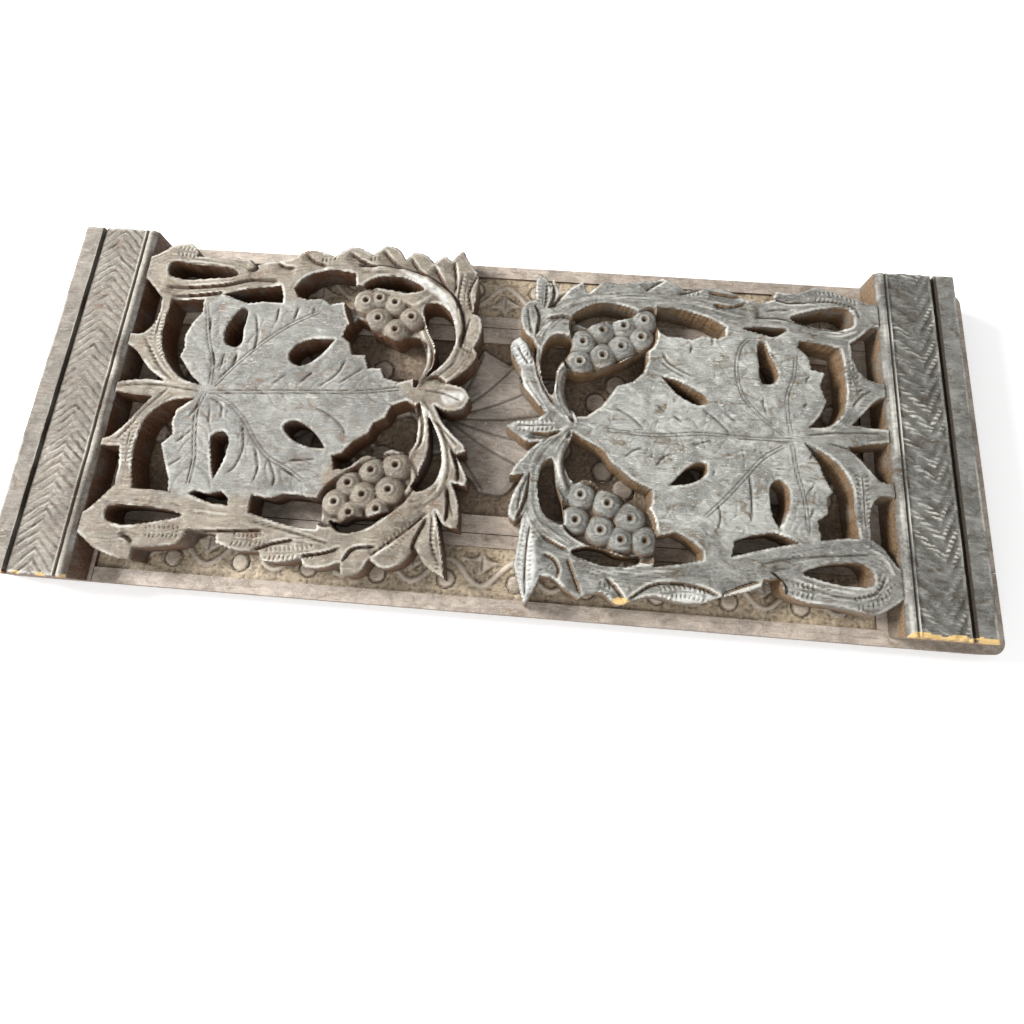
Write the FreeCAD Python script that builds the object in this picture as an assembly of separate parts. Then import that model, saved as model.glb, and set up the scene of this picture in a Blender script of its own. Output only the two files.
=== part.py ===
import FreeCAD, Part
import math
import os

os.makedirs("parts", exist_ok=True)
V = FreeCAD.Vector

# Carved walnut book slide, closed. Millimetres, +Z up.
# Origin: middle of the closed slide on the table plane. +X runs along the slide, -Y is the front.

# ---- driving sizes -------------------------------------------------------------------------
base_length = 380.0
base_width = 144.0
base_thickness = 11.0
board_thickness = 14.5
foot_width = 31.0
end_margin = 10.0
rail_width = 29.0
travel = 200.0
hinge_length = 22.0
pin_radius = 1.0

# ---- fits and small sizes ------------------------------------------------------------------
slide_gap = 0.3
fold_gap = 0.2
pin_clearance = 0.05
knuckle_gap = 0.3
screw_clearance = 0.05
centre_thickness = base_thickness * 0.66
cleat_gap = 0.3
cleat_thickness = base_thickness - centre_thickness - cleat_gap
cleat_width = 30.0
cleat_inset = 40.0
cleat_edge_inset = 6.0
left_cleat_inset = 8.0
cleat_screw_place = 0.28
tongue_out = 3.0
tongue_height = 2.4
leaf_thickness = 1.1
leaf_reach = 14.0
knuckle_wall = 1.5
hinge_screw_place = 0.3
screw_radius = 1.3
screw_head_radius = 2.4
screw_length = 7.0
screw_tip_length = 1.5
screw_tip_radius = 0.3
dowel_radius = 2.5
dowel_half_length = 12.0
dowel_place = 0.62
peg_radius = 4.0
peg_low = 0.6
peg_depth = 3.5
sink_depth = 1.6
strip_inner_margin = 5.0
strip_outer_margin = 5.4
field_side_margin = 7.0
field_end_margin = 6.0
carving_to_foot = 4.0
corner_radius = 5.0
right_foot_setback = 3.5
end_board_gap = 1.5
touch = 1e-6

# ---- foot moulding of the book ends: distances across the foot and drops below its crown ----
panel_drop = 0.5
facet_width = 1.8
facet_drop = 2.2
shoulder_drop = 0.3
vee_start = 3.2
vee_middle = 3.8
vee_end = 4.4
vee_drop = 1.4
band_drop = 0.6
groove_inner = 9.4
groove_outer = 7.6
groove_drop = 3.0
edge_drop = 0.4
edge_ease = 0.6

# ---- size that the carving outlines are drawn for -------------------------------------------
drawn_foot_in = 149.0
drawn_width = 144.0

# ---- levels and lines that follow ----------------------------------------------------------
half_length = base_length / 2
half_width = base_width / 2
top = base_thickness
joint_y = half_width - rail_width
axis_x = half_length - end_margin
axis_z = top + fold_gap / 2
board_low = top + fold_gap
board_high = board_low + board_thickness
foot_in = axis_x - foot_width
end_board_in = foot_in - end_board_gap
knuckle_radius = pin_radius + knuckle_wall
hinge_y = half_width - rail_width / 2
centre_low = top - centre_thickness
outline_scale_x = foot_in / drawn_foot_in
outline_scale_y = base_width / drawn_width

# ---- carving outlines: (x, y) points of a smooth run, (x, y, 1) marks a sharp corner -------
LEFT_OUTER = [
    (-150.5, 60, 1), (-147, 61), (-141, 65.5), (-134, 67.5, 1), (-130, 64), (-130, 61.5, 1), (-120, 61),
    (-107, 61.5, 1), (-104, 59.5, 1), (-97, 61), (-90, 62.5, 1), (-83, 67), (-76, 66.5), (-72, 65, 1),
    (-65, 70), (-60, 69), (-56, 67, 1), (-50, 71.5), (-45, 69.5), (-42, 65.5, 1), (-38, 69),
    (-33, 67.5), (-30, 64.5, 1), (-26, 68), (-23, 66, 1), (-18.5, 71.5, 1), (-15.5, 66), (-11.5, 61),
    (-11, 52), (-12, 43, 1), (-8.5, 41), (-8, 33), (-10, 28, 1), (-8.5, 25), (-11, 20), (-19, 12.5, 1),
    (-12, 10.5), (-9.5, 7, 1), (-12, 2.5), (-18, 1), (-23, 3, 1), (-18, -5), (-10, -12, 1),
    (-9, -14.5, 1), (-13, -16, 1), (-10, -20), (-8, -24), (-7.5, -28, 1), (-13, -27, 1), (-10, -34),
    (-9, -44, 1), (-14, -43), (-18, -38, 1), (-15, -48), (-12, -62, 1), (-19, -58), (-24, -52, 1),
    (-28, -57.5), (-35, -60), (-40, -57, 1), (-43, -62), (-49, -63.5), (-50.5, -59, 1), (-57, -61.5),
    (-63, -61.5), (-65, -58.5, 1), (-72, -60.5), (-79, -60.5), (-81, -57.5, 1), (-90, -57.5),
    (-97, -55.5, 1), (-98, -52.5, 1), (-108, -51.5, 1), (-111, -56.5), (-119, -58.5), (-127, -59.5, 1),
    (-127, -64, 1), (-133, -63.5), (-142, -60.5), (-147, -57), (-150.5, -55, 1),
]
LEFT_OPENINGS = [
    [(-151, 51, 1), (-147, 48), (-140.5, 41.5, 1), (-140, 36), (-141, 30), (-144, 25.5), (-151, 25, 1)],
    [(-151, 20.5, 1), (-146, 18), (-138, 10), (-131, 5.5, 1), (-140, 5.5), (-151, 3.5, 1)],
    [(-151, 0, 1), (-142, -1), (-134, -1.5, 1), (-139, -9), (-146, -18), (-151, -19.5, 1)],
    [(-151, -22.5, 1), (-142, -22, 1), (-140.5, -29), (-140, -37, 1), (-143, -41), (-148, -47),
     (-151, -48, 1)],
    [(-140, 57.5), (-130, 57.5), (-112, 55.5), (-111, 53.5), (-120, 51.5), (-134, 50.5), (-140, 52.5)],
    [(-140, -45.5), (-134, -44.3), (-120, -44.8), (-112, -46.5), (-120, -49), (-134, -51.5),
     (-140, -49.5)],
    [(-136, 41, 1), (-123, 42, 1), (-122, 36, 1), (-125, 31, 1), (-127, 25, 1), (-126, 20, 1),
     (-127, 16, 1), (-120, 8, 1), (-115.5, 4.5, 1), (-125, 7.5), (-133, 16), (-136.5, 25)],
    [(-117, -1, 1), (-123, -6, 1), (-124, -11, 1), (-122.5, -16, 1), (-126, -20, 1), (-123, -27, 1),
     (-120, -33, 1), (-119, -38, 1), (-133, -37.5, 1), (-136, -24), (-134, -10), (-127, -3)],
    [(-115, 44.5, 1), (-106, 47.5), (-92, 50, 1), (-90.5, 46), (-90, 42.5, 1), (-97, 42.5, 1),
     (-104, 41, 1)],
    [(-86, 49, 1), (-83, 54), (-76, 58), (-68, 58.5), (-62, 57.5, 1), (-61, 50), (-62, 43, 1),
     (-65, 44.5, 1), (-70, 43, 1), (-74, 45.5, 1), (-80, 44.5, 1), (-84, 45.5, 1)],
    [(-58, 52.5), (-54, 56), (-47, 57.5), (-40, 56.5), (-33, 52.5), (-39, 50.5), (-48, 51.5)],
    [(-31, 45.5), (-26, 46), (-21, 42.5), (-18.5, 36), (-18, 28), (-22, 20), (-27.5, 14.5), (-25.5, 20),
     (-25.5, 27), (-29, 34), (-31.5, 41)],
    [(-59, 39, 1), (-55, 37), (-52, 33), (-46, 31), (-41, 29), (-36, 32), (-32.5, 32, 1), (-29.5, 26),
     (-29, 20), (-32, 13.5, 1), (-38, 11.5, 1), (-44, 13, 1), (-46, 17, 1), (-51, 16.5, 1),
     (-53, 22, 1), (-58, 22, 1), (-60, 27, 1), (-63, 29, 1), (-62, 33, 1)],
    [(-34, 4, 1), (-30.5, 2, 1), (-29, -5), (-29, -12), (-32, -16), (-38, -16), (-42, -19), (-47, -19),
     (-53, -24), (-58, -25, 1), (-59.5, -20, 1), (-56, -18.5, 1), (-52.5, -14, 1), (-47, -10, 1),
     (-45.5, -6, 1), (-41.5, -3.5, 1), (-39.5, 1.5, 1)],
    [(-25.5, 0, 1), (-22, -6), (-18.7, -14), (-18, -22), (-20.5, -28.5), (-26, -31), (-28.5, -29),
     (-26, -24), (-23.5, -16), (-24, -7)],
    [(-111, -38.2, 1), (-109, -37, 1), (-104, -38, 1), (-99, -36.5, 1), (-96, -39, 1),
     (-95.5, -41.5, 1), (-103, -40.8)],
    [(-87, -43.5, 1), (-87, -37, 1), (-80, -38, 1), (-76, -36, 1), (-70, -35.5, 1), (-65, -36.5, 1),
     (-61.5, -36, 1), (-61, -42), (-61, -47.5, 1), (-70, -47.3), (-80, -45.3)],
    [(-57.5, -44), (-53, -44.5), (-49, -42), (-42, -41.5), (-36, -39.5), (-39, -43.5), (-46, -47.5),
     (-53, -47.8)],
    [(-106, 38.5), (-103.7, 38), (-103.6, 30), (-104, 22.5), (-109, 22.5), (-111, 27), (-108.5, 35)],
    [(-83, 20), (-81, 24), (-75, 27), (-66, 27.5, 1), (-69, 22.5), (-73, 18), (-78, 15.5), (-82, 17)],
    [(-107, -15.5), (-103, -13.5), (-100.3, -16), (-100.3, -22), (-101.5, -27.5), (-103, -31.5, 1),
     (-104.5, -27.5), (-106, -22)],
    [(-80, -9.5), (-77, -7.3), (-72, -8.5), (-66, -13), (-63, -17, 1), (-70, -16.8), (-77, -13.8)],
]
RIGHT_OUTER = [
    (150.5, 57, 1), (145, 58.5), (138, 60), (131, 62.5), (125, 64, 1), (118, 61), (109, 61, 1),
    (108, 57, 1), (103, 55.5), (97, 56.5, 1), (90, 60), (80, 61, 1), (73, 59.5), (70, 61), (64, 64, 1),
    (56, 62), (48, 60.5), (40, 61, 1), (37, 58), (33.5, 56, 1), (32, 60.5, 1), (27, 57), (22, 52, 1),
    (22, 57), (19.5, 61, 1), (18.8, 56, 1), (17.5, 60), (13.5, 62.8, 1), (12.5, 57), (13, 51, 1),
    (9, 49), (7.5, 43), (9, 37), (13, 33, 1), (15, 30, 1), (14.8, 24, 1), (11, 31), (8, 34, 1),
    (4.5, 30.5), (5.5, 26), (9, 20.5, 1), (9, 16), (14, 10), (20, 3, 1), (16, -0.5), (10, -0.8),
    (5, -3, 1), (9, -6), (14, -9), (18.5, -8.5, 1), (15, -12), (9.5, -19), (8, -22.5, 1),
    (13.5, -21.5, 1), (10, -29), (8.8, -37), (11, -39.5, 1), (14, -37, 1), (13, -46), (12, -55, 1),
    (17, -69, 1), (20.5, -62), (22, -58, 1), (26, -58.5), (31, -62), (36, -65, 1), (39, -63, 1),
    (44, -62.5), (50, -66), (54, -64.5, 1), (62, -62), (72, -63.5), (80, -63), (86, -60.5, 1),
    (95, -58), (100, -56, 1), (101, -53.5, 1), (107, -52.5, 1), (108, -57), (115, -60), (125, -60.5),
    (132, -61.5), (139, -62.5), (145, -59.5), (150.5, -55.5, 1),
]
RIGHT_OPENINGS = [
    [(151, 47, 1), (147, 47.5), (142, 43.5), (137.5, 40, 1), (138, 34), (140.5, 28), (144.5, 25),
     (151, 24, 1)],
    [(151, 19, 1), (146, 17), (141, 12), (136, 6.5, 1), (141, 6), (151, 5.5, 1)],
    [(151, 0.5, 1), (144, -0.5), (134, -2.5, 1), (139, -8), (145, -14.5), (151, -15.5, 1)],
    [(151, -21, 1), (144, -20.5), (140.5, -25), (140, -36, 1), (144, -39.5), (148, -45), (151, -46, 1)],
    [(115, 50), (120, 52), (128, 54.3), (137, 54.8), (139, 52.5), (139, 48), (136, 46.2), (128, 46.2),
     (120, 47.3)],
    [(115, -50), (120, -47.5), (128, -45.7), (136, -45.3), (139, -48), (139, -52), (135, -53.2),
     (128, -53), (121, -51.8)],
    [(118, 40, 1), (117, 37, 1), (121, 33, 1), (122, 28, 1), (127, 27, 1), (125, 22, 1), (127, 15, 1),
     (124, 9, 1), (120, 4.5, 1), (126, 5), (131, 8.5), (134, 15), (134.5, 25), (134, 33),
     (133, 37.5, 1), (126, 39)],
    [(118, -2, 1), (126, -6.5), (131, -11.5), (134, -18), (134.5, -27), (135.5, -36, 1), (130, -36.5),
     (122, -38, 1), (121, -31, 1), (125, -28, 1), (125, -22, 1), (127, -20, 1), (124, -14, 1),
     (123, -10, 1)],
    [(96, 43.7), (101, 44.6), (107, 44.8), (113, 44.3), (108, 41), (102, 42)],
    [(62, 51, 1), (69, 50.5), (76, 49), (83, 46.8), (89, 43.5, 1), (88.5, 40, 1), (86, 38.5, 1),
     (80, 39.5, 1), (76, 37.5, 1), (70, 38.5, 1), (66, 38.5, 1), (63, 40, 1), (62, 45)],
    [(28, 44.2), (32, 48), (38, 50.8), (44, 51.3), (50, 49.8), (54, 48.2), (51, 45.5), (46, 44),
     (41, 43), (35, 41.5), (31, 42.8)],
    [(28.5, 34.5), (25, 36.2), (21, 35.5), (17.5, 30), (17, 22), (18.5, 15), (22, 10.5), (23, 15),
     (23.3, 20), (25.5, 25), (28, 30)],
    [(27.5, 21.5, 1), (33, 20.5), (39, 22.5), (45, 25), (50, 27), (55, 31), (58.5, 33, 1),
     (58.5, 27, 1), (57, 22, 1), (53, 18, 1), (47, 16, 1), (44, 11, 1), (41, 7, 1), (36, 3, 1),
     (32, 2.5, 1), (28.8, 7), (26.8, 13)],
    [(31, -4, 1), (29.7, -8), (28.2, -13), (28.7, -18), (32, -23), (37, -22), (44, -25), (50, -27),
     (55, -30), (59.5, -32.5, 1), (61, -29, 1), (61, -24, 1), (57, -22.5, 1), (53, -20.5, 1),
     (49, -17, 1), (46, -15, 1), (43, -11, 1), (40, -9, 1), (35, -6.5, 1)],
    [(23.5, -15), (20.5, -17), (19, -23), (19.5, -30), (22, -36), (26, -38.5), (29, -39), (28.5, -32),
     (26, -25)],
    [(63, -41, 1), (70, -39, 1), (76, -42, 1), (79.5, -45, 1), (79.5, -48, 1), (72, -50),
     (62, -51.8, 1), (62.8, -46)],
    [(91, -40.5, 1), (97, -38, 1), (105, -36.5, 1), (110, -38, 1), (113.5, -39.5, 1), (103, -42.2),
     (96, -44.2), (90, -46, 1)],
    [(32.5, -48.8), (38, -46.5), (44, -47), (50, -49), (58, -48.8), (57, -51), (50, -52.8), (42, -52.3)],
    [(102, 38), (104, 38, 1), (106, 33), (109, 24.5), (107, 21.3), (103, 21), (101.7, 28)],
    [(64.5, 21, 1), (70, 19.8), (76, 17), (81, 13.8), (81.5, 11.3), (78, 10.5), (73, 12.5), (68, 16.5)],
    [(105, -18.5), (108, -17), (110.7, -19.5), (111, -26), (109, -31.5), (107, -34.5, 1), (105, -31),
     (104.3, -25)],
    [(67.5, -21.8, 1), (70, -19), (74, -14.8), (78, -12.5), (81, -13), (81, -16), (78.5, -18.8),
     (74, -20.8)],
]
# Broad vine leaf carved on the centre board, upright between the two book ends.
CENTRE_LEAF = [
    (-4, -27, 1), (-8, -22), (-16, -20), (-19, -12, 1), (-27, -13), (-31, -6), (-26, -3, 1), (-34, 3),
    (-33, 12, 1), (-27, 11), (-22, 15, 1), (-24, 23), (-15, 24, 1), (-11, 26), (-7, 33, 1), (-2, 30),
    (4, 27, 1), (11, 29), (15, 21, 1), (24, 21), (24, 12, 1), (30, 8), (27, 0, 1), (31, -8),
    (25, -15, 1), (16, -14), (12, -19, 1), (6, -27),
]


# ---- shared helpers ------------------------------------------------------------------------
def box(x0, x1, y0, y1, z0, z1):
    return Part.makeBox(x1 - x0, y1 - y0, z1 - z0, V(x0, y0, z0))


def outline_wire(points, z):
    """Closed wire through the points, with corners where the third value is 1."""
    spots = [V(p[0] * outline_scale_x, p[1] * outline_scale_y, z) for p in points]
    sharp = [i for i, p in enumerate(points) if len(p) == 3]
    if not sharp:
        curve = Part.BSplineCurve()
        curve.interpolate(Points=spots, PeriodicFlag=True)
        return Part.Wire([curve.toShape()])
    edges = []
    for n, first in enumerate(sharp):
        last = sharp[(n + 1) % len(sharp)]
        if last <= first:
            last += len(points)
        run = [spots[i % len(points)] for i in range(first, last + 1)]
        if len(run) == 2:
            edges.append(Part.makeLine(run[0], run[1]))
        else:
            curve = Part.BSplineCurve()
            curve.interpolate(Points=run)
            edges.append(curve.toShape())
    return Part.Wire(edges)


def outline_prism(points, z0, z1):
    return Part.Face(outline_wire(points, z0)).extrude(V(0, 0, z1 - z0))


def side_sign(side):
    return -1 if side == "left" else 1


def across(side, x0, x1, y0, y1, z0, z1):
    """Box given by distances out from the middle, on the left or right half."""
    s = side_sign(side)
    return box(min(s * x0, s * x1), max(s * x0, s * x1), y0, y1, z0, z1)


def hinge_spots():
    return [("front", -hinge_y), ("back", hinge_y)]


def screw_spots(y):
    x = axis_x - knuckle_radius - (leaf_reach - knuckle_radius) / 2
    step = hinge_length * hinge_screw_place
    return [(x, y - step), (x, y + step)]


def screw(x, y, z_face, up, grow=0.0):
    """Countersunk wood screw whose head is flush at z_face and whose shank points up or down."""
    s = 1 if up else -1
    way = V(0, 0, s)
    head_depth = screw_head_radius - screw_radius
    tip_from = screw_length - screw_tip_length
    shank_at = V(x, y, z_face + s * head_depth)
    tip_at = V(x, y, z_face + s * tip_from)
    head = Part.makeCone(screw_head_radius + grow, screw_radius + grow, head_depth, V(x, y, z_face), way)
    shank = Part.makeCylinder(screw_radius + grow, tip_from - head_depth, shank_at, way)
    tip = Part.makeCone(screw_radius + grow, screw_tip_radius, screw_tip_length + grow, tip_at, way)
    return head.fuse([shank, tip])


def hinge_screws(side, up, grow=0.0):
    """The four screws that hold one side's leaves, to the base (down) or to the book end (up)."""
    s = side_sign(side)
    face = board_low if up else top
    return [screw(s * x, y, face, up, grow) for _, hy in hinge_spots() for x, y in screw_spots(hy)]


# ---- hinges --------------------------------------------------------------------------------
def knuckle_spans(y):
    """Outer two knuckles belong to the base leaf, the middle one to the book end's leaf."""
    third = hinge_length / 3
    low = y - hinge_length / 2
    base = [(low, low + third - knuckle_gap / 2), (low + 2 * third + knuckle_gap / 2, low + hinge_length)]
    board = [(low + third + knuckle_gap / 2, low + 2 * third - knuckle_gap / 2)]
    return base, board


def axis_rod(side, radius, y0, y1):
    """Round bar along a book end's hinge axis."""
    return Part.makeCylinder(radius, y1 - y0, V(side_sign(side) * axis_x, y0, axis_z), V(0, 1, 0))


def hinge_leaf(side, y, on_board):
    """Flat leaf with its rolled knuckles, the pin's bore and two countersunk holes."""
    base, board = knuckle_spans(y)
    mine = board if on_board else base
    other = base if on_board else board
    half = hinge_length / 2
    z0 = board_low if on_board else top - leaf_thickness
    face = board_low if on_board else top
    leaf = across(side, axis_x - leaf_reach, axis_x, y - half, y + half, z0, z0 + leaf_thickness)
    room = knuckle_gap / 2
    clear = [axis_rod(side, knuckle_radius + knuckle_gap, a - room, b + room) for a, b in other]
    rolls = [axis_rod(side, knuckle_radius, a, b) for a, b in mine]
    cutters = [axis_rod(side, pin_radius + pin_clearance, y - half - 1, y + half + 1)]
    for x, screw_y in screw_spots(y):
        cutters.append(screw(side_sign(side) * x, screw_y, face, on_board, screw_clearance))
    return leaf.cut(clear).fuse(rolls).cut(cutters).removeSplitter()


def hinge_pin(side, y):
    return axis_rod(side, pin_radius, y - hinge_length / 2, y + hinge_length / 2)


def hinge_room(side, on_board):
    """Wood removed for the leaves, the knuckles and the screws."""
    half = hinge_length / 2
    z0 = board_low - 1 if on_board else top - leaf_thickness
    z1 = board_low + leaf_thickness if on_board else top + 1
    room = []
    for _, y in hinge_spots():
        reach = half + knuckle_gap
        room.append(axis_rod(side, knuckle_radius + knuckle_gap, y - reach, y + reach))
        room.append(across(side, axis_x - leaf_reach, axis_x, y - half, y + half, z0, z1))
    return room + hinge_screws(side, on_board, screw_clearance)


# ---- book ends -----------------------------------------------------------------------------
def foot_profile(side):
    """Moulded foot in section: inner facet, thin V groove, bowed band, square groove, edge strip."""
    s = side_sign(side)
    crown = board_high
    edge = crown - edge_drop
    groove = crown - groove_drop
    inner_run = [
        (foot_in, board_low),
        (foot_in, crown - facet_drop),
        (foot_in + facet_width, crown - shoulder_drop),
        (foot_in + vee_start, crown - shoulder_drop),
        (foot_in + vee_middle, crown - vee_drop),
        (foot_in + vee_end, crown - panel_drop),
    ]
    outer_run = [
        (axis_x - groove_inner, crown - band_drop),
        (axis_x - groove_inner, groove),
        (axis_x - groove_outer, groove),
        (axis_x - groove_outer, edge),
        (axis_x - edge_ease, edge),
        (axis_x, edge - edge_ease),
        (axis_x, board_low),
    ]
    a = [V(s * x, 0, z) for x, z in inner_run]
    b = [V(s * x, 0, z) for x, z in outer_run]
    bow = Part.Arc(a[-1], V((a[-1].x + b[0].x) / 2, 0, crown), b[0]).toShape()
    edges = [Part.makeLine(p, q) for p, q in zip(a, a[1:])] + [bow]
    edges += [Part.makeLine(p, q) for p, q in zip(b, b[1:])] + [Part.makeLine(b[-1], a[0])]
    return Part.Face(Part.Wire(edges))


def bookend(side):
    """Pierced and shaped panel in one piece with its moulded foot, housed for two hinges."""
    outer = LEFT_OUTER if side == "left" else RIGHT_OUTER
    openings = LEFT_OPENINGS if side == "left" else RIGHT_OPENINGS
    front = -half_width + (right_foot_setback if side == "right" else 0.0)
    foot = foot_profile(side)
    foot.translate(V(0, front, 0))
    foot = foot.extrude(V(0, half_width - front, 0))
    panel = outline_prism(outer, board_low, board_high - panel_drop)
    cutters = [outline_prism(o, board_low - 1, board_high + 1) for o in openings]
    panel = panel.cut(cutters)
    return panel.fuse(foot).cut(hinge_room(side, True)).removeSplitter()


# ---- base ----------------------------------------------------------------------------------
def upright_edges(body, x, y_sign):
    """Upright corner edges of a board at its end x, on one side of the slide."""
    found = []
    for edge in body.Edges:
        size = edge.BoundBox
        on_end = abs(size.XMin - x) < touch and abs(size.XMax - x) < touch
        at_side = abs((size.YMin + size.YMax) / 2 - y_sign * half_width) < touch
        if on_end and at_side and size.ZLength > top - touch:
            found.append(edge)
    return found


def rail(y_sign):
    """One fixed rail, with the sunk strip, the groove for the tongue and the cleat housings."""
    low = joint_y + slide_gap / 2
    y0, y1 = sorted((y_sign * low, y_sign * half_width))
    body = box(-end_board_in + slide_gap, half_length, y0, y1, 0, top)
    body = body.makeFillet(corner_radius, upright_edges(body, half_length, y_sign))
    groove_y = sorted((y_sign * (low - 1), y_sign * (low + tongue_out + slide_gap)))
    groove_low = tongue_low() - slide_gap / 2
    groove_high = tongue_low() + tongue_height + slide_gap / 2
    cutters = [box(-half_length - 1, half_length + 1, groove_y[0], groove_y[1], groove_low, groove_high)]
    strip_y = sorted((y_sign * (joint_y + strip_inner_margin), y_sign * (half_width - strip_outer_margin)))
    strip_end = foot_in - carving_to_foot
    cutters.append(box(-end_board_in - 1, strip_end, strip_y[0], strip_y[1], top - sink_depth, top + 1))
    for side in ("left", "right"):
        cutters.append(cleat_blank(side))
    cutters += cleat_screws(screw_clearance)
    cutters += hinge_room("right", False)
    return body.cut(cutters).removeSplitter()


def tongue_low():
    return centre_low + (centre_thickness - sink_depth - tongue_height) / 2


def cleat_far(side):
    """Distance from the middle of the slide to the far edge of a cleat."""
    return end_board_in - left_cleat_inset if side == "left" else half_length - cleat_inset


def cleat_blank(side):
    """Cross piece let flush into the undersides of both rails, with the centre board above it."""
    far = cleat_far(side)
    reach = half_width - cleat_edge_inset
    return across(side, far - cleat_width, far, -reach, reach, 0, cleat_thickness)


def cleat_screws(grow=0.0):
    """Two screws through each end of each cleat, up into the rails."""
    screws = []
    for side in ("left", "right"):
        middle = cleat_far(side) - cleat_width / 2
        for y in (-hinge_y, hinge_y):
            for step in (-cleat_screw_place, cleat_screw_place):
                screws.append(screw(side_sign(side) * (middle + step * cleat_width), y, 0.0, True, grow))
    return screws


def cleat(side):
    return cleat_blank(side).cut(cleat_screws(screw_clearance))


def centre_board():
    """Sliding tongue board: smooth margins, sunk field, raised vine leaf, tongues along both edges."""
    edge = joint_y - slide_gap / 2
    body = box(-end_board_in, half_length, -edge, edge, centre_low, top)
    tongue = box(-end_board_in, half_length, -edge - tongue_out, edge + tongue_out, tongue_low(),
                 tongue_low() + tongue_height)
    field_edge = joint_y - field_side_margin
    field_end = foot_in - carving_to_foot
    field_start = -end_board_in + field_end_margin
    field = box(field_start, field_end, -field_edge, field_edge, top - sink_depth, top + 1)
    field = field.cut(outline_prism(CENTRE_LEAF, top - sink_depth - 1, top + 2))
    cutters = [field, stop_peg()] + end_dowels()
    return body.fuse(tongue).cut(cutters).removeSplitter()


def left_end_board():
    """Cross-grained end of the sliding half, the same thickness as the closed base."""
    body = box(-half_length, -end_board_in, -half_width, half_width, 0, top)
    corners = upright_edges(body, -half_length, -1) + upright_edges(body, -half_length, 1)
    body = body.makeFillet(corner_radius, corners)
    return body.cut(hinge_room("left", False) + end_dowels()).removeSplitter()


def end_dowels():
    """Three dowels that hold the end board to the centre board."""
    x = -end_board_in - dowel_half_length
    z = centre_low + (centre_thickness - sink_depth) / 2
    spots = [-joint_y * dowel_place, 0.0, joint_y * dowel_place]
    return [Part.makeCylinder(dowel_radius, 2 * dowel_half_length, V(x, y, z), V(1, 0, 0)) for y in spots]


def stop_peg():
    """Peg under the centre board that meets the left cleat when the slide is full out."""
    x = cleat_width - cleat_far("left") + travel + peg_radius
    return Part.makeCylinder(peg_radius, centre_low + peg_depth - peg_low, V(x, 0, peg_low))


# ---- nodes ---------------------------------------------------------------------------------
nodes = {
    "front_rail": rail(-1),
    "back_rail": rail(1),
    "left_cross_cleat": cleat("left"),
    "right_cross_cleat": cleat("right"),
    "cleat_screws": Part.makeCompound(cleat_screws()),
    "centre_board": centre_board(),
    "left_end_board": left_end_board(),
    "left_end_dowels": Part.makeCompound(end_dowels()),
    "stop_peg": stop_peg(),
}
for side in ("left", "right"):
    nodes[side + "_bookend"] = bookend(side)
    nodes[side + "_base_hinge_screws"] = Part.makeCompound(hinge_screws(side, False))
    nodes[side + "_bookend_hinge_screws"] = Part.makeCompound(hinge_screws(side, True))
    for spot, y in hinge_spots():
        name = side + "_" + spot + "_hinge"
        nodes[name + "_base_leaf"] = hinge_leaf(side, y, False)
        nodes[name + "_bookend_leaf"] = hinge_leaf(side, y, True)
        nodes[name + "_pin"] = hinge_pin(side, y)

for name, shape in nodes.items():
    shape.exportStep("parts/" + name + ".step")
    print(name, len(shape.Solids), shape.isValid(), round(shape.Volume))
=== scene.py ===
"""Looks for the carved walnut book slide: carved book ends, carved base boards, aged brass hinges.

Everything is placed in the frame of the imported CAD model. The carving is worked out in millimetres
on grids of points, turned into meshes and scaled to metres.
"""
import math
from collections import deque

import bmesh
import bpy
import numpy as np
from mathutils import Matrix, Vector


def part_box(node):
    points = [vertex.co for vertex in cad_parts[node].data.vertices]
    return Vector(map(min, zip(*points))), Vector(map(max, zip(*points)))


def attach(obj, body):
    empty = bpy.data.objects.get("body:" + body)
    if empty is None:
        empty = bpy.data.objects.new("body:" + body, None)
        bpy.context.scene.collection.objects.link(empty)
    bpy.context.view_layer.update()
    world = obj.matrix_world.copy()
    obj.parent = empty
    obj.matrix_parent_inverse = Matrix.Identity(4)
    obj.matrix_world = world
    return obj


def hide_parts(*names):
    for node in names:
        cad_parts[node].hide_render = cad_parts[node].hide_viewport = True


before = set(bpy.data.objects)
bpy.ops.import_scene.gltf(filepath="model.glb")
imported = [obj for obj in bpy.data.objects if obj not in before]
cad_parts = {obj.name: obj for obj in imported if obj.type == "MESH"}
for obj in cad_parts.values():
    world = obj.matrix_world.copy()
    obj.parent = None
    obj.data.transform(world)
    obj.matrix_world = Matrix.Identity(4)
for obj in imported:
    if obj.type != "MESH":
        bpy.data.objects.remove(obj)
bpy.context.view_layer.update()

MM = 0.001
FAR = 99.0    # stands for a distance too great to matter
REACH = 6.0   # distances into the wood are kept up to here
STEP = 0.6    # between the points of a smooth line
GRID = 0.5    # between the points of a carving


# ---- places taken from the frame, in millimetres
def node_box(name):
    low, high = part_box(name)
    return [v / MM for v in low], [v / MM for v in high]


board_low, board_high = node_box("left_bookend")
BASE_TOP = node_box("left_end_board")[1][2]
RAIL_START = node_box("front_rail")[0][0]
BOARD_LOW, BOARD_HIGH = board_low[2], board_high[2]
PANEL_TOP = BOARD_HIGH - 0.5
FOOT_WIDTH = 31.0
FOOT_IN = -board_low[0] - FOOT_WIDTH


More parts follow.
